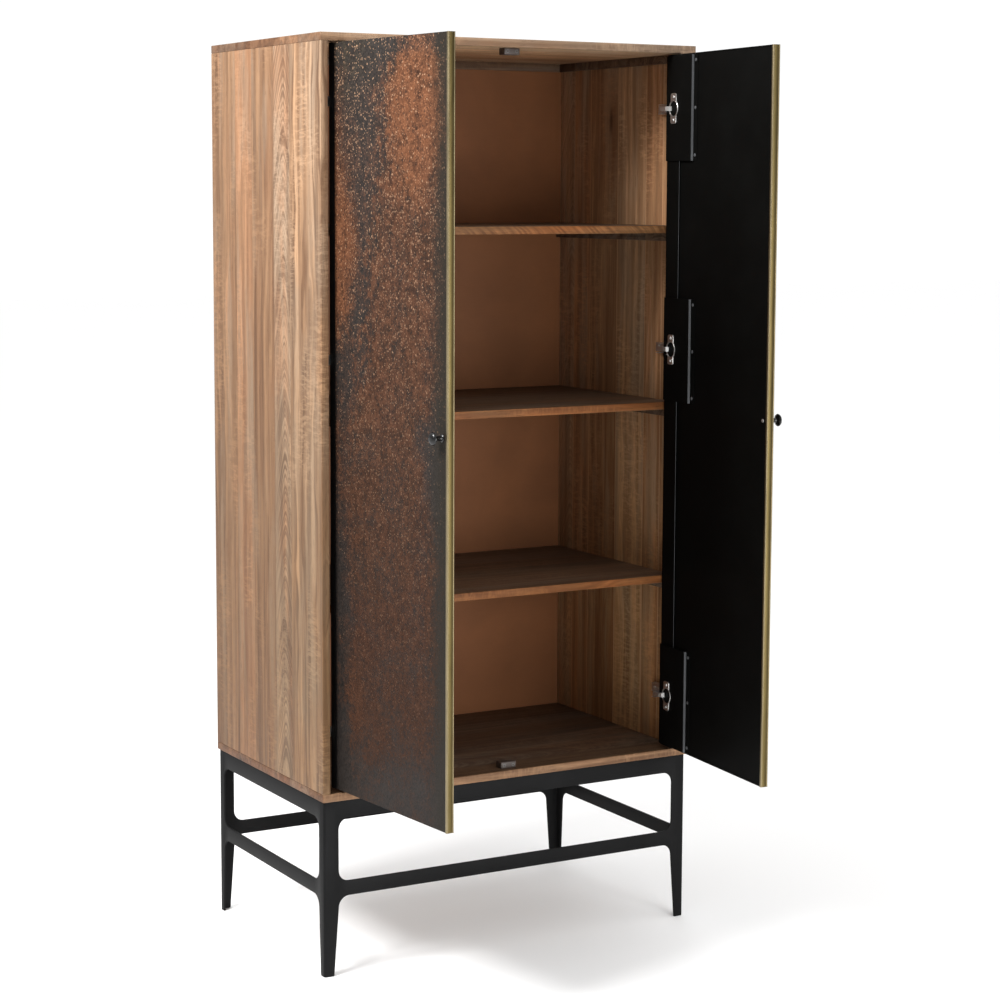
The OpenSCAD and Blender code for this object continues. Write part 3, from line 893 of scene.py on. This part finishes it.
def build_board(node, along, planks, inside, face="stained", rim="end"):
    """A solid board; planks is a list or a seed, and inside the directions of its stained faces."""
    looks = bpy.context.scene.cabinet_wood
    low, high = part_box(node)
    if isinstance(planks, int):
        planks = make_planks(high.y - low.y, planks)
    made = bmesh.new()
    add_box(made, low, high)
    stain_from = low.y
    if rim == "end":
        stain_from += looks.stain_margin
        everything = [*made.verts, *made.edges, *made.faces]
        plane = {"plane_co": (0, stain_from, 0), "plane_no": (0, 1, 0)}
        bmesh.ops.bisect_plane(made, geom=everything, **plane)
    ease(made, looks.board_ease, 3)
    for item in made.faces:
        normal = item.normal
        stained = any(normal.dot(Vector(way)) > 0.95 for way in inside)
        if stained and item.calc_center_median().y > stain_from - 0.1 * MM:
            item.material_index = 1
        elif along == "X" and (abs(normal.x) > 0.5 or rim == "edge" and abs(normal.z) < 0.8):
            item.material_index = 2
    kinds = ("oiled", face, rim) if along == "X" else ("oiled", face)
    finishes = [wood(f"{node}_{kind}", along, (low, high), planks, kind) for kind in kinds]
    add_piece(f"{node}_board", made, finishes, "cabinet", "solid_wood", node)


class CABINET_OT_boards(bpy.types.Operator):
    """Builds the four boards of the case"""

    bl_idname = "cabinet.boards"
    bl_label = "Case boards"

    def execute(self, context):
        build_board("top_panel", "X", 19, [(0, 0, -1)])
        build_board("bottom_panel", "X", 32, [(0, 0, 1)], "dark")
        build_board("left_side_panel", "Z", LEFT_PLANKS, [(1, 0, 0)])
        build_board("right_side_panel", "Z", 58, [(-1, 0, 0)])
        return {"FINISHED"}


class CABINET_OT_shelves(bpy.types.Operator):
    """Builds the three shelves"""

    bl_idname = "cabinet.shelves"
    bl_label = "Shelves"

    def execute(self, context):
        for seed, node in enumerate(SHELVES):
            build_board(node, "X", 71 + seed, [(0, 0, 1), (0, 0, -1)], "dark", "edge")
        return {"FINISHED"}


class CABINET_OT_back_sheet(bpy.types.Operator):
    """Dresses the back sheet"""

    bl_idname = "cabinet.back_sheet"
    bl_label = "Back sheet"

    def execute(self, context):
        dress("back_panel", once("back_sheet_stained", ply))
        return {"FINISHED"}


CLEAT_SEEDS = {
    "left_top_cleat": 21,
    "right_top_cleat": 22,
    "left_shelf_cleats": 23,
    "right_shelf_cleats": 24,
    "back_top_rail": 31,
}


class CABINET_OT_cleats(bpy.types.Operator):
    """Builds the strips under the top board and under the shelves"""

    bl_idname = "cabinet.cleats"
    bl_label = "Cleats"

    def execute(self, context):
        for node, seed in CLEAT_SEEDS.items():
            made = bmesh.new()
            for low, high in solids(node):
                join(made, eased_box(low, high, 0.8 * MM, 2))
            material = wood(f"{node}_dark", "X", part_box(node), make_planks(0.6, seed), "dark")
            add_piece(f"{node}_strip", made, [material], "cabinet", "stained_wood", node)
        return {"FINISHED"}


# ---- Stand ----

LEGS = ("front_left_leg", "front_right_leg", "back_left_leg", "back_right_leg")
RAILS = ("front_rail", "back_rail", "left_rail", "right_rail")
STRETCHERS = ("front_stretcher", "back_stretcher", "left_stretcher", "right_stretcher")


class StandShape:
    """The stand's main measures, read from its CAD nodes."""

    def __init__(self):
        self.low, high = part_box("front_left_leg")
        self.high = Vector((-self.low.x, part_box("back_left_leg")[1].y, high.z))
        rail_low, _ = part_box("front_rail")
        bar_low, bar_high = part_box("front_stretcher")
        side_low, side_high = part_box("left_stretcher")
        self.plate = side_high.x - side_low.x
        self.rail_z = rail_low.z
        self.bar_z = (bar_low.z, bar_high.z)
        self.corner = 6 * MM
        self.flare = 24 * MM
        self.leg = (bar_low.x - self.low.x - self.flare, side_low.y - self.low.y - self.flare)
        self.foot = (23 * MM, 19 * MM)

    def columns(self, leg, foot, span, corner_steps=3, flare_steps=10):
        """Places along one side, from its start to its end."""
        places = [self.corner * i / corner_steps for i in range(corner_steps + 1)] + [foot, leg]
        for i in range(1, flare_steps + 1):
            places.append(leg + self.flare * (1 - math.cos(math.pi / 2 * i / flare_steps)))
        places += [span - p for p in reversed(places)]
        return places

    def spans(self, near, leg, foot):
        """The upright spans of iron at a distance from the corner: in the leg, and past it."""
        bar_low, bar_high = self.bar_z
        leg_foot = max(0.0, (near - foot) / (leg - foot)) * (bar_low - self.flare)
        past = min(max(near - leg, 0.0), self.flare)
        rise = self.flare - math.sqrt(max(self.flare ** 2 - (self.flare - past) ** 2, 0.0))
        return (
            [(leg_foot, self.high.z)],
            [(bar_low - rise, bar_high + rise), (self.rail_z - rise, self.high.z)],
        )

    def corner_point(self, side, along, depth):
        """A point of the stand's wall: side 0 to 3 from the front round, along it from its start."""
        low, high = self.low, self.high
        starts = ((low.x, low.y), (high.x, low.y), (high.x, high.y), (low.x, high.y))
        start = Vector(starts[side])
        way = Vector(((1, 0), (0, 1), (-1, 0), (0, -1))[side])
        inward = Vector((-way.y, way.x))
        span = (high.x - low.x) if side % 2 == 0 else (high.y - low.y)
        near = min(along, span - along)
        if near >= self.corner:
            return start + way * along + inward * depth
        sign = 1 if along < span / 2 else -1
        angle = (self.corner - near) / self.corner * math.pi / 4
        centre = start + way * (self.corner if sign > 0 else span - self.corner)
        centre = centre + inward * self.corner
        out = -inward * math.cos(angle) - way * sign * math.sin(angle)
        return centre + out * (self.corner - depth)


def between(heights, low, high):
    """The heights from low to high, sorted."""
    return sorted(z for z in heights if low - TINY <= z <= high + TINY)


def stand_wall(shape):
    """The stand's upright plates as one closed wall, with rounded corners and windows."""
    made = bmesh.new()
    verts, uses = {}, {}

    def vert(side, along, z, depth):
        """The wall's vertex at a place, made when it is first asked for."""
        spot = shape.corner_point(side, along, depth)
        key = (round(spot.x, 6), round(spot.y, 6), round(z, 6))
        if key not in verts:
            verts[key] = made.verts.new((spot.x, spot.y, z))
        return verts[key]

    for side in range(4):
        leg, foot = shape.leg[side % 2], shape.foot[side % 2]
        span = (shape.high - shape.low)[side % 2]
        places = shape.columns(leg, foot, span)
        levels = {}
        columns = []
        for left, right in zip(places, places[1:]):
            nearness = [min(place, span - place) for place in (left, right)]
            past_leg = 0 if max(nearness) < leg + TINY else 1
            pairs = []
            for place, near in zip((left, right), nearness):
                pairs.append(shape.spans(near, leg, foot)[past_leg])
                heights = {round(z, 6) for pair in pairs[-1] for z in pair}
                levels.setdefault(round(place, 6), set()).update(heights)
            columns.append((left, right, pairs))
        for left, right, pairs in columns:
            for left_span, right_span in zip(*pairs):
                ups = between(levels[round(right, 6)], *right_span)
                downs = between(levels[round(left, 6)], *left_span)
                ring = [(right, z) for z in ups] + [(left, z) for z in reversed(downs)]
                outer = [vert(side, a, z, 0.0) for a, z in ring]
                inner = [vert(side, a, z, shape.plate) for a, z in ring]
                made.faces.new(outer)
                made.faces.new(inner[::-1])
                for i in range(len(ring)):
                    j = (i + 1) % len(ring)
                    key = frozenset((outer[i], outer[j]))
                    uses.setdefault(key, []).append((outer[i], outer[j], inner[j], inner[i]))
    for quads in uses.values():
        if len(quads) == 1:
            a, b, c, d = quads[0]
            made.faces.new((b, a, d, c))
    bmesh.ops.recalc_face_normals(made, faces=made.faces)
    ease(made, 0.7 * MM, 2, 40.0)
    return made


class CABINET_OT_stand(bpy.types.Operator):
    """Builds the welded iron stand and its screws"""

    bl_idname = "cabinet.stand"
    bl_label = "Iron stand"

    def execute(self, context):
        shape = StandShape()
        made = stand_wall(shape)
        for node in RAILS:
            low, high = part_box(node)
            low.z = high.z - shape.plate
            thin = 1 if high.x - low.x > high.y - low.y else 0
            if node in ("front_rail", "left_rail"):
                low[thin] += shape.plate
            else:
                high[thin] -= shape.plate
            join(made, eased_box(low, high, 0.4 * MM, 2))
        nodes = LEGS + RAILS + STRETCHERS
        add_piece("iron_stand", made, [black()], "cabinet", "black_iron", *nodes)

        heads = bmesh.new()
        head = 3 * MM
        for low, high in solids("stand_screws"):
            radius = (high.x - low.x) / 2
            centre = (low + high) / 2
            seat = (centre.x, centre.y, low.z + head)
            join(heads, screw_head(facing(seat, (0, 0, -1)), radius, head))
            shank = [(radius * 0.5, 0.0), (radius * 0.5, high.z - low.z - head)]
            join(heads, turned(shank, facing(seat, (0, 0, 1)), 16))
        add_piece("stand_fixings", heads, [plated()], "cabinet", "nickel", "stand_screws")
        return {"FINISHED"}


# ---- Catches ----


class CABINET_OT_catches(bpy.types.Operator):
    """Builds the magnet catches"""

    bl_idname = "cabinet.catches"
    bl_label = "Magnet catches"

    def execute(self, context):
        plastic = once("catch_brown", catch_plastic)
        for node in ("top_catch", "bottom_catch"):
            low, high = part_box(node)
            made = eased_box(low, high, 2.2 * MM, 4)
            add_piece(f"{node}_block", made, [plastic], "cabinet", "catch_plastic", node)
        made = bmesh.new()
        for low, high in solids("catch_magnets"):
            centre = (low + high) / 2
            radius = (high.x - low.x) / 2
            face = low.y - 0.25 * MM
            dish = -0.5 * MM
            rings = [
                (radius, face - high.y),
                (radius, dish),
                (radius * 0.9, 0.0),
                (radius * 0.66, 0.0),
                (radius * 0.6, dish),
            ]
            join(made, turned(rings, facing((centre.x, face, centre.z), (0, -1, 0)), 32))
        add_piece("catch_magnet_caps", made, [plated("magnet")], "cabinet", "nickel", "catch_magnets")
        return {"FINISHED"}


# ---- Hinges ----


class CABINET_OT_hinge_arms(bpy.types.Operator):
    """Dresses the hinge arms and plates, and builds their screws"""

    bl_idname = "cabinet.hinge_arms"
    bl_label = "Hinge arms"

    def execute(self, context):
        plate = plated()
        for side in SIDES:
            for part in ("hinge_plates", "hinge_arms"):
                dress(f"{side}_{part}", plate)
            made = bmesh.new()
            for low, high in solids("left_plate_screws"):
                centre = (low + high) / 2
                seat = (high.x - 1.5 * MM, centre.y, centre.z)
                join(made, screw_head(facing(seat, (1, 0, 0), 0.4), (high.z - low.z) / 2, 1.8 * MM))
            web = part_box("left_hinge_plates")[1].x + 11.5 * MM
            for low, high in solids("left_hinge_arms"):
                middle = (low.z + high.z) / 2
                for back, radius in ((13 * MM, 3.6 * MM), (38 * MM, 3.0 * MM)):
                    seat = (web, high.y - back, middle)
                    join(made, screw_head(facing(seat, (1, 0, 0), 0.9), radius, 1.6 * MM))
                for way in (-1, 1):
                    seat = (web - 5 * MM, high.y - 50 * MM, middle + way * (high.z - middle))
                    rivet = [(2.4 * MM, 0.0), (2.2 * MM, 0.5 * MM), (1.2 * MM, 0.9 * MM)]
                    join(made, turned(rivet, facing(seat, (0, 0, way)), 20))
            on_side(made, side)
            add_piece(f"{side}_plate_fixings", made, [plate], "cabinet", "nickel", f"{side}_plate_screws")
        return {"FINISHED"}


def wing(angle):
    """The cup flange's outline: a round collar with two wings up and down."""
    half_w, half_h, corner = 12.0 * MM, 33.0 * MM, 5.0 * MM
    collar = 19.5 * MM
    across, up = abs(math.cos(angle)), abs(math.sin(angle))
    reach = min(half_w / max(across, TINY), half_h / max(up, TINY))
    cx, cy = half_w - corner, half_h - corner
    if reach * across > cx and reach * up > cy:
        b = across * cx + up * cy
        reach = b + math.sqrt(max(b * b - (cx * cx + cy * cy - corner * corner), 0.0))
    return max(reach, collar)


def cup_rings(deep):
    """Rings of a hinge cup, from the outside of its floor round to the inside; deep is its depth."""
    outer, inner, rim = 17.5 * MM, 16.3 * MM, 1.5 * MM
    low = 2 * MM - deep
    return [
        (15.5 * MM, -deep),
        (outer, low),
        (outer, 0.0),
        (wing, 0.0),
        (wing, 1.0 * MM),
        (lambda angle: wing(angle) - 0.5 * MM, rim),
        (17.0 * MM, rim),
        (inner, 1.0 * MM),
        (inner, low),
        (15.0 * MM, 0.6 * MM - deep),
    ]


class CABINET_OT_hinge_cups(bpy.types.Operator):
    """Builds the hinge cups, their pins and their screws"""

    bl_idname = "cabinet.hinge_cups"
    bl_label = "Hinge cups"

    def execute(self, context):
        plate = plated()
        face = shut_box("left_hinge_carriers")[1].y
        for side in SIDES:
            cups, screws = bmesh.new(), bmesh.new()
            for low, high in solids("left_hinge_cups", True):
                centre = (low + high) / 2
                seat = facing((centre.x, face, centre.z), (0, 1, 0))
                join(cups, turned(cup_rings(face - low.y), seat, 120))
            for low, high in solids("left_cup_screws", True):
                centre = (low + high) / 2
                seat = facing((centre.x, high.y - 1.5 * MM, centre.z), (0, 1, 0), 0.6)
                join(screws, screw_head(seat, 3.5 * MM, 1.7 * MM))
            body = f"{side}_door"
            hang(cups, side)
            add_piece(f"{side}_cups", cups, [plate], body, "nickel", f"{side}_hinge_cups")
            hang(screws, side)
            add_piece(f"{side}_cup_fixings", screws, [plate], body, "nickel", f"{side}_cup_screws")
            dress(f"{side}_hinge_pins", plate)
        return {"FINISHED"}


# ---- Doors ----


STILE_LIP = 18 * MM


def along_x(y, z, x):
    """Places an outline drawn in Y and Z."""
    return (x, y, z)


def along_z(x, y, z):
    """Places an outline drawn in X and Y."""
    return (x, y, z)


class CABINET_OT_door_skins(bpy.types.Operator):
    """Builds the doors' rusted outer sheets"""

    bl_idname = "cabinet.door_skins"
    bl_label = "Door skins"

    def execute(self, context):
        low, high = shut_box("left_door_skin")
        stile_low, stile_high = shut_box("left_door_stile")
        looks = context.scene.cabinet_metal
        back = stile_high.y - 1.5 * MM
        hem = 3 * MM
        path = [
            (back, low.z + hem),
            (back, low.z),
            (low.y, low.z),
            (low.y, high.z),
            (back, high.z),
            (back, high.z - hem),
        ]
        outline = sheet_outline(path, 1.2 * MM, looks.fold)
        for side in SIDES:
            made = prism(outline, stile_low.x + STILE_LIP, high.x, along_x)
            ease(made, 0.3 * MM, 1, 50.0)
            for face in made.faces:
                face.material_index = 0 if face.normal.y < -0.7 else 1
            hang(made, side)
            box_low, box_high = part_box(f"{side}_door_skin")
            mirror = 1 if side == "left" else -1
            across, up = (box_high.y, box_low.y), (box_low.z, box_high.z)
            finishes = [patina(f"{side}_patina", mirror, across, up), black("lining")]
            add_piece(f"{side}_skin", made, finishes, f"{side}_door", "patinated_iron", f"{side}_door_skin")
        return {"FINISHED"}


class CABINET_OT_door_stiles(bpy.types.Operator):
    """Builds the channels folded round the hinge edges, and dresses the linings"""

    bl_idname = "cabinet.door_stiles"
    bl_label = "Door stiles and linings"

    def execute(self, context):
        low, high = shut_box("left_door_stile")
        looks = context.scene.cabinet_metal
        path = [(low.x + STILE_LIP, low.y), (low.x, low.y), (low.x, high.y), (high.x, high.y)]
        outline = sheet_outline(path[::-1], 1.35 * MM, looks.fold)
        for side in SIDES:
            made = prism(outline, low.z, high.z, along_z)
            ease(made, 0.25 * MM, 1, 50.0)
            hang(mark_sheen_faces(made, low.y), side)
            finishes = [black("lining"), black("rubbed"), black()]
            add_piece(f"{side}_stile", made, finishes, f"{side}_door", "black_iron", f"{side}_door_stile")
            dress(f"{side}_door_lining", black("lining"))
        return {"FINISHED"}


class CABINET_OT_door_edging(bpy.types.Operator):
    """Builds the brass channels over the doors' free edges"""

    bl_idname = "cabinet.door_edging"
    bl_label = "Brass edging"

    def execute(self, context):
        looks = context.scene.cabinet_metal
        low, high = shut_box("left_door_edging")
        free = high.x
        lip, proud, bead, step = 6 * MM, 0.8 * MM, 1.5 * MM, 3.2 * MM
        nick, bevel = 0.5 * MM, 0.25 * MM
        outline = [
            (free - bead, low.y + proud),
            (free - lip, low.y + proud),
            (free - lip, low.y + bevel),
            (free - lip + nick, low.y),
            *arc((free - bead, low.y + bead), bead, -90, 60, 6),
            (free - nick, low.y + step),
            (free - nick, high.y - step),
            *arc((free - bead, high.y - bead), bead, -60, 90, 6),
            (free - lip + nick, high.y),
            (free - lip, high.y - bevel),
            (free - lip, high.y - proud),
            (free - bead, high.y - proud),
        ]
        for side in SIDES:
            made = prism(outline, low.z, high.z, along_z)
            # The beads and lips get the paler brass: painted glints on the rounded corners, and wear.
            for face in made.faces:
                face.material_index = 0 if face.normal.x > 0.97 else 1
            hang(made, side)
            finishes = [once("brass_aged", brass, looks.brass), once("brass_worn", brass, looks.worn)]
            add_piece(f"{side}_edging", made, finishes, f"{side}_door", "brass", f"{side}_door_edging")
        return {"FINISHED"}


class CABINET_OT_hinge_carriers(bpy.types.Operator):
    """Builds the raised plates that carry the hinge cups, and their screws"""

    bl_idname = "cabinet.hinge_carriers"
    bl_label = "Hinge carriers"

    def execute(self, context):
        looks = context.scene.cabinet_metal
        low, high = shut_box("left_hinge_carriers")
        stile = shut_box("left_door_stile")[1].y
        thick = 1.5 * MM
        foot = low.y + thick
        riser = high.x - 14.5 * MM
        path = [(low.x, stile), (low.x, high.y), (riser, high.y), (riser, foot), (high.x, foot)]
        outline = sheet_outline(path, thick, looks.fold)
        for side in SIDES:
            made, screws = bmesh.new(), bmesh.new()
            for part_low, part_high in solids("left_hinge_carriers", True):
                bar = prism(outline, part_low.z, part_high.z, along_z)
                ease(bar, 0.3 * MM, 1, 50.0)
                join(made, bar)
            for part_low, part_high in solids("left_carrier_screws", True):
                centre = (part_low + part_high) / 2
                seat = facing((centre.x, foot, centre.z), (0, 1, 0), 0.3)
                join(screws, screw_head(seat, 3.5 * MM, 1.6 * MM))
            body = f"{side}_door"
            finishes = [black("lining"), black("rubbed"), black()]
            hang(mark_sheen_faces(made, foot + 1.0 * MM), side)
            add_piece(f"{side}_carriers", made, finishes, body, "black_iron", f"{side}_hinge_carriers")
            hang(screws, side)
            name = f"{side}_carrier_fixings"
            # The carrier screws take the same lighter black of the painted sheen.
            add_piece(name, screws, [black("rubbed")], body, "black_iron", f"{side}_carrier_screws")
        return {"FINISHED"}


class CABINET_OT_knobs(bpy.types.Operator):
    """Builds the turned knobs and their screws"""

    bl_idname = "cabinet.knobs"
    bl_label = "Knobs"

    def execute(self, context):
        low, high = shut_box("left_knob")
        centre = (low + high) / 2
        reach = high.y - low.y
        radius = (high.x - low.x) / 2
        rings = [
            (8.0 * MM, 0.0),
            (8.0 * MM, 1.6 * MM),
            (7.4 * MM, 2.4 * MM),
            (5.6 * MM, 3.4 * MM),
            (5.0 * MM, 6.0 * MM),
            (4.9 * MM, reach - 15.0 * MM),
            (5.6 * MM, reach - 12.0 * MM),
            (8.2 * MM, reach - 9.6 * MM),
            (radius - 0.9 * MM, reach - 7.6 * MM),
            (radius, reach - 6.2 * MM),
            (radius - 0.2 * MM, reach - 5.0 * MM),
            (radius - 1.8 * MM, reach - 2.8 * MM),
            (radius - 4.6 * MM, reach - 1.1 * MM),
            (radius - 8.4 * MM, reach - 0.25 * MM),
            (1.5 * MM, reach),
        ]
        foot = facing((centre.x, high.y, centre.z), (0, -1, 0))
        screw_high = shut_box("left_knob_screw")[1]
        seat = facing((centre.x, screw_high.y - 1.5 * MM, centre.z), (0, 1, 0), 0.2)
        for side in SIDES:
            body = f"{side}_door"
            made = hang(turned(rings, foot, 64), side)
            add_piece(f"{side}_turned_knob", made, [black("knob")], body, "black_knob", f"{side}_knob")
            made = hang(screw_head(seat, 4.0 * MM, 1.8 * MM), side)
            add_piece(f"{side}_knob_fixing", made, [plated()], body, "nickel", f"{side}_knob_screw")
        return {"FINISHED"}


# ---- Stage ----


def area_light(name, place, aim, size, watts):
    """A square soft box that points at a target."""
    data = bpy.data.lights.new(name, "AREA")
    data.shape = "SQUARE"
    data.size = size
    data.energy = watts
    lamp = bpy.data.objects.new(name, data)
    lamp.location = place
    lamp.rotation_euler = (Vector(aim) - Vector(place)).to_track_quat("-Z", "Y").to_euler()
    bpy.context.scene.collection.objects.link(lamp)


CAMERA_PLACE = (-2.5417, -4.426, 1.6468)
CAMERA_HEADING, CAMERA_TILT, CAMERA_ROLL = (math.radians(angle) for angle in (29.216, -6.492, 0.171))
FILM_WIDTH, FOCAL_LENGTH = 36.0, 85.04
LENS_SHIFT = (0.030, -0.040)


def add_camera():
    """The camera, in front and to the left, a little below the cabinet's top."""
    level = Vector((math.sin(CAMERA_HEADING), math.cos(CAMERA_HEADING), 0.0)) * math.cos(CAMERA_TILT)
    ahead = level + Vector((0.0, 0.0, math.sin(CAMERA_TILT)))
    right = Vector((math.cos(CAMERA_HEADING), -math.sin(CAMERA_HEADING), 0.0))
    up = right.cross(ahead)
    turned_right = right * math.cos(CAMERA_ROLL) + up * math.sin(CAMERA_ROLL)
    turned_up = up * math.cos(CAMERA_ROLL) - right * math.sin(CAMERA_ROLL)
    data = bpy.data.cameras.new("camera")
    data.sensor_width = FILM_WIDTH
    data.lens = FOCAL_LENGTH
    data.shift_x, data.shift_y = LENS_SHIFT
    data.clip_start, data.clip_end = 0.1, 60.0
    camera = bpy.data.objects.new("camera", data)
    rotation = Matrix((turned_right, turned_up, -ahead)).transposed().to_4x4()
    camera.matrix_world = Matrix.Translation(CAMERA_PLACE) @ rotation
    bpy.context.scene.collection.objects.link(camera)
    bpy.context.scene.camera = camera


def add_floor():
    """A wide pale floor, just under the feet."""
    made = bmesh.new()
    bmesh.ops.create_grid(made, x_segments=1, y_segments=1, size=30.0)
    mesh = bpy.data.meshes.new("floor")
    made.to_mesh(mesh)
    made.free()
    mesh.materials.append(floor_paint("floor_white"))
    floor = bpy.data.objects.new("floor", mesh)
    floor.location.z = -0.5 * MM
    bpy.context.scene.collection.objects.link(floor)
    return floor


def add_surroundings(looks):
    """Light that grows from the horizon up, and an even white backdrop for the camera."""
    white = (1.0, 1.0, 1.0)
    world = bpy.data.worlds.new("studio")
    world.use_nodes = True
    sky = Nodes(world.node_tree)
    sky.tree.nodes.clear()
    height = sky.node("ShaderNodeTexCoord").output("Generated").parts()[2]
    levels = {"Value": height, "From Max": 1.0, "To Min": looks.horizon, "To Max": looks.zenith}
    glow = sky.node("ShaderNodeMapRange", None, levels)
    dome = sky.node("ShaderNodeBackground", None, {"Color": white, "Strength": glow})
    backdrop = sky.node("ShaderNodeBackground", None, {"Color": white, "Strength": looks.backdrop})
    seen = sky.node("ShaderNodeLightPath").output("Is Camera Ray")
    both = sky.node("ShaderNodeMixShader", None, {0: seen, 1: dome, 2: backdrop})
    sky.node("ShaderNodeOutputWorld", None, {"Surface": both})
    bpy.context.scene.world = world


class CABINET_OT_stage(bpy.types.Operator):
    """Sets up the floor, the lights and the camera"""

    bl_idname = "cabinet.stage"
    bl_label = "Stage"

    def execute(self, context):
        looks = context.scene.cabinet_stage
        add_floor()
        add_surroundings(looks)
        area_light("key_light", (-2.3, -0.52, 3.15), (-0.4, 0.1, 1.8), 1.1, looks.key)
        area_light("fill_light", (0.3, -3.4, 1.0), (0.1, 0.3, 0.9), 1.6, looks.fill)
        add_camera()
        context.scene.view_settings.view_transform = "Standard"
        return {"FINISHED"}


OPERATORS = (
    CABINET_OT_boards,
    CABINET_OT_shelves,
    CABINET_OT_back_sheet,
    CABINET_OT_cleats,
    CABINET_OT_stand,
    CABINET_OT_catches,
    CABINET_OT_hinge_arms,
    CABINET_OT_hinge_cups,
    CABINET_OT_door_skins,
    CABINET_OT_door_stiles,
    CABINET_OT_door_edging,
    CABINET_OT_hinge_carriers,
    CABINET_OT_knobs,
    CABINET_OT_stage,
)


class CABINET_PT_panel(bpy.types.Panel):
    """Lists the cabinet's settings and its build steps"""

    bl_idname = "CABINET_PT_panel"
    bl_label = "Cabinet"
    bl_space_type = "VIEW_3D"
    bl_region_type = "UI"
    bl_category = "Cabinet"

    def draw(self, context):
        for group in ("cabinet_wood", "cabinet_metal", "cabinet_stage"):
            settings = getattr(context.scene, group)
            box = self.layout.box()
            for name in settings.bl_rna.properties.keys():
                if name not in ("rna_type", "name"):
                    box.prop(settings, name)
        for operator in OPERATORS:
            self.layout.operator(operator.bl_idname)


GROUPS = {
    "cabinet_wood": CabinetWoodSettings,
    "cabinet_metal": CabinetMetalSettings,
    "cabinet_stage": CabinetStageSettings,
}


def register():
    """Registers the settings, the operators and the panel."""
    for name, group in GROUPS.items():
        bpy.utils.register_class(group)
        setattr(bpy.types.Scene, name, PointerProperty(type=group))
    for item in (*OPERATORS, CABINET_PT_panel):
        bpy.utils.register_class(item)


def unregister():
    """Removes what register() added."""
    for item in (CABINET_PT_panel, *reversed(OPERATORS)):
        bpy.utils.unregister_class(item)
    for name, group in reversed(GROUPS.items()):
        delattr(bpy.types.Scene, name)
        bpy.utils.unregister_class(group)


def main():
    """Builds everything."""
    register()
    for operator in OPERATORS:
        step = operator.bl_idname.split(".")[1]
        getattr(bpy.ops.cabinet, step)()
    bpy.context.view_layer.update()


if __name__ == "__main__":
    main()
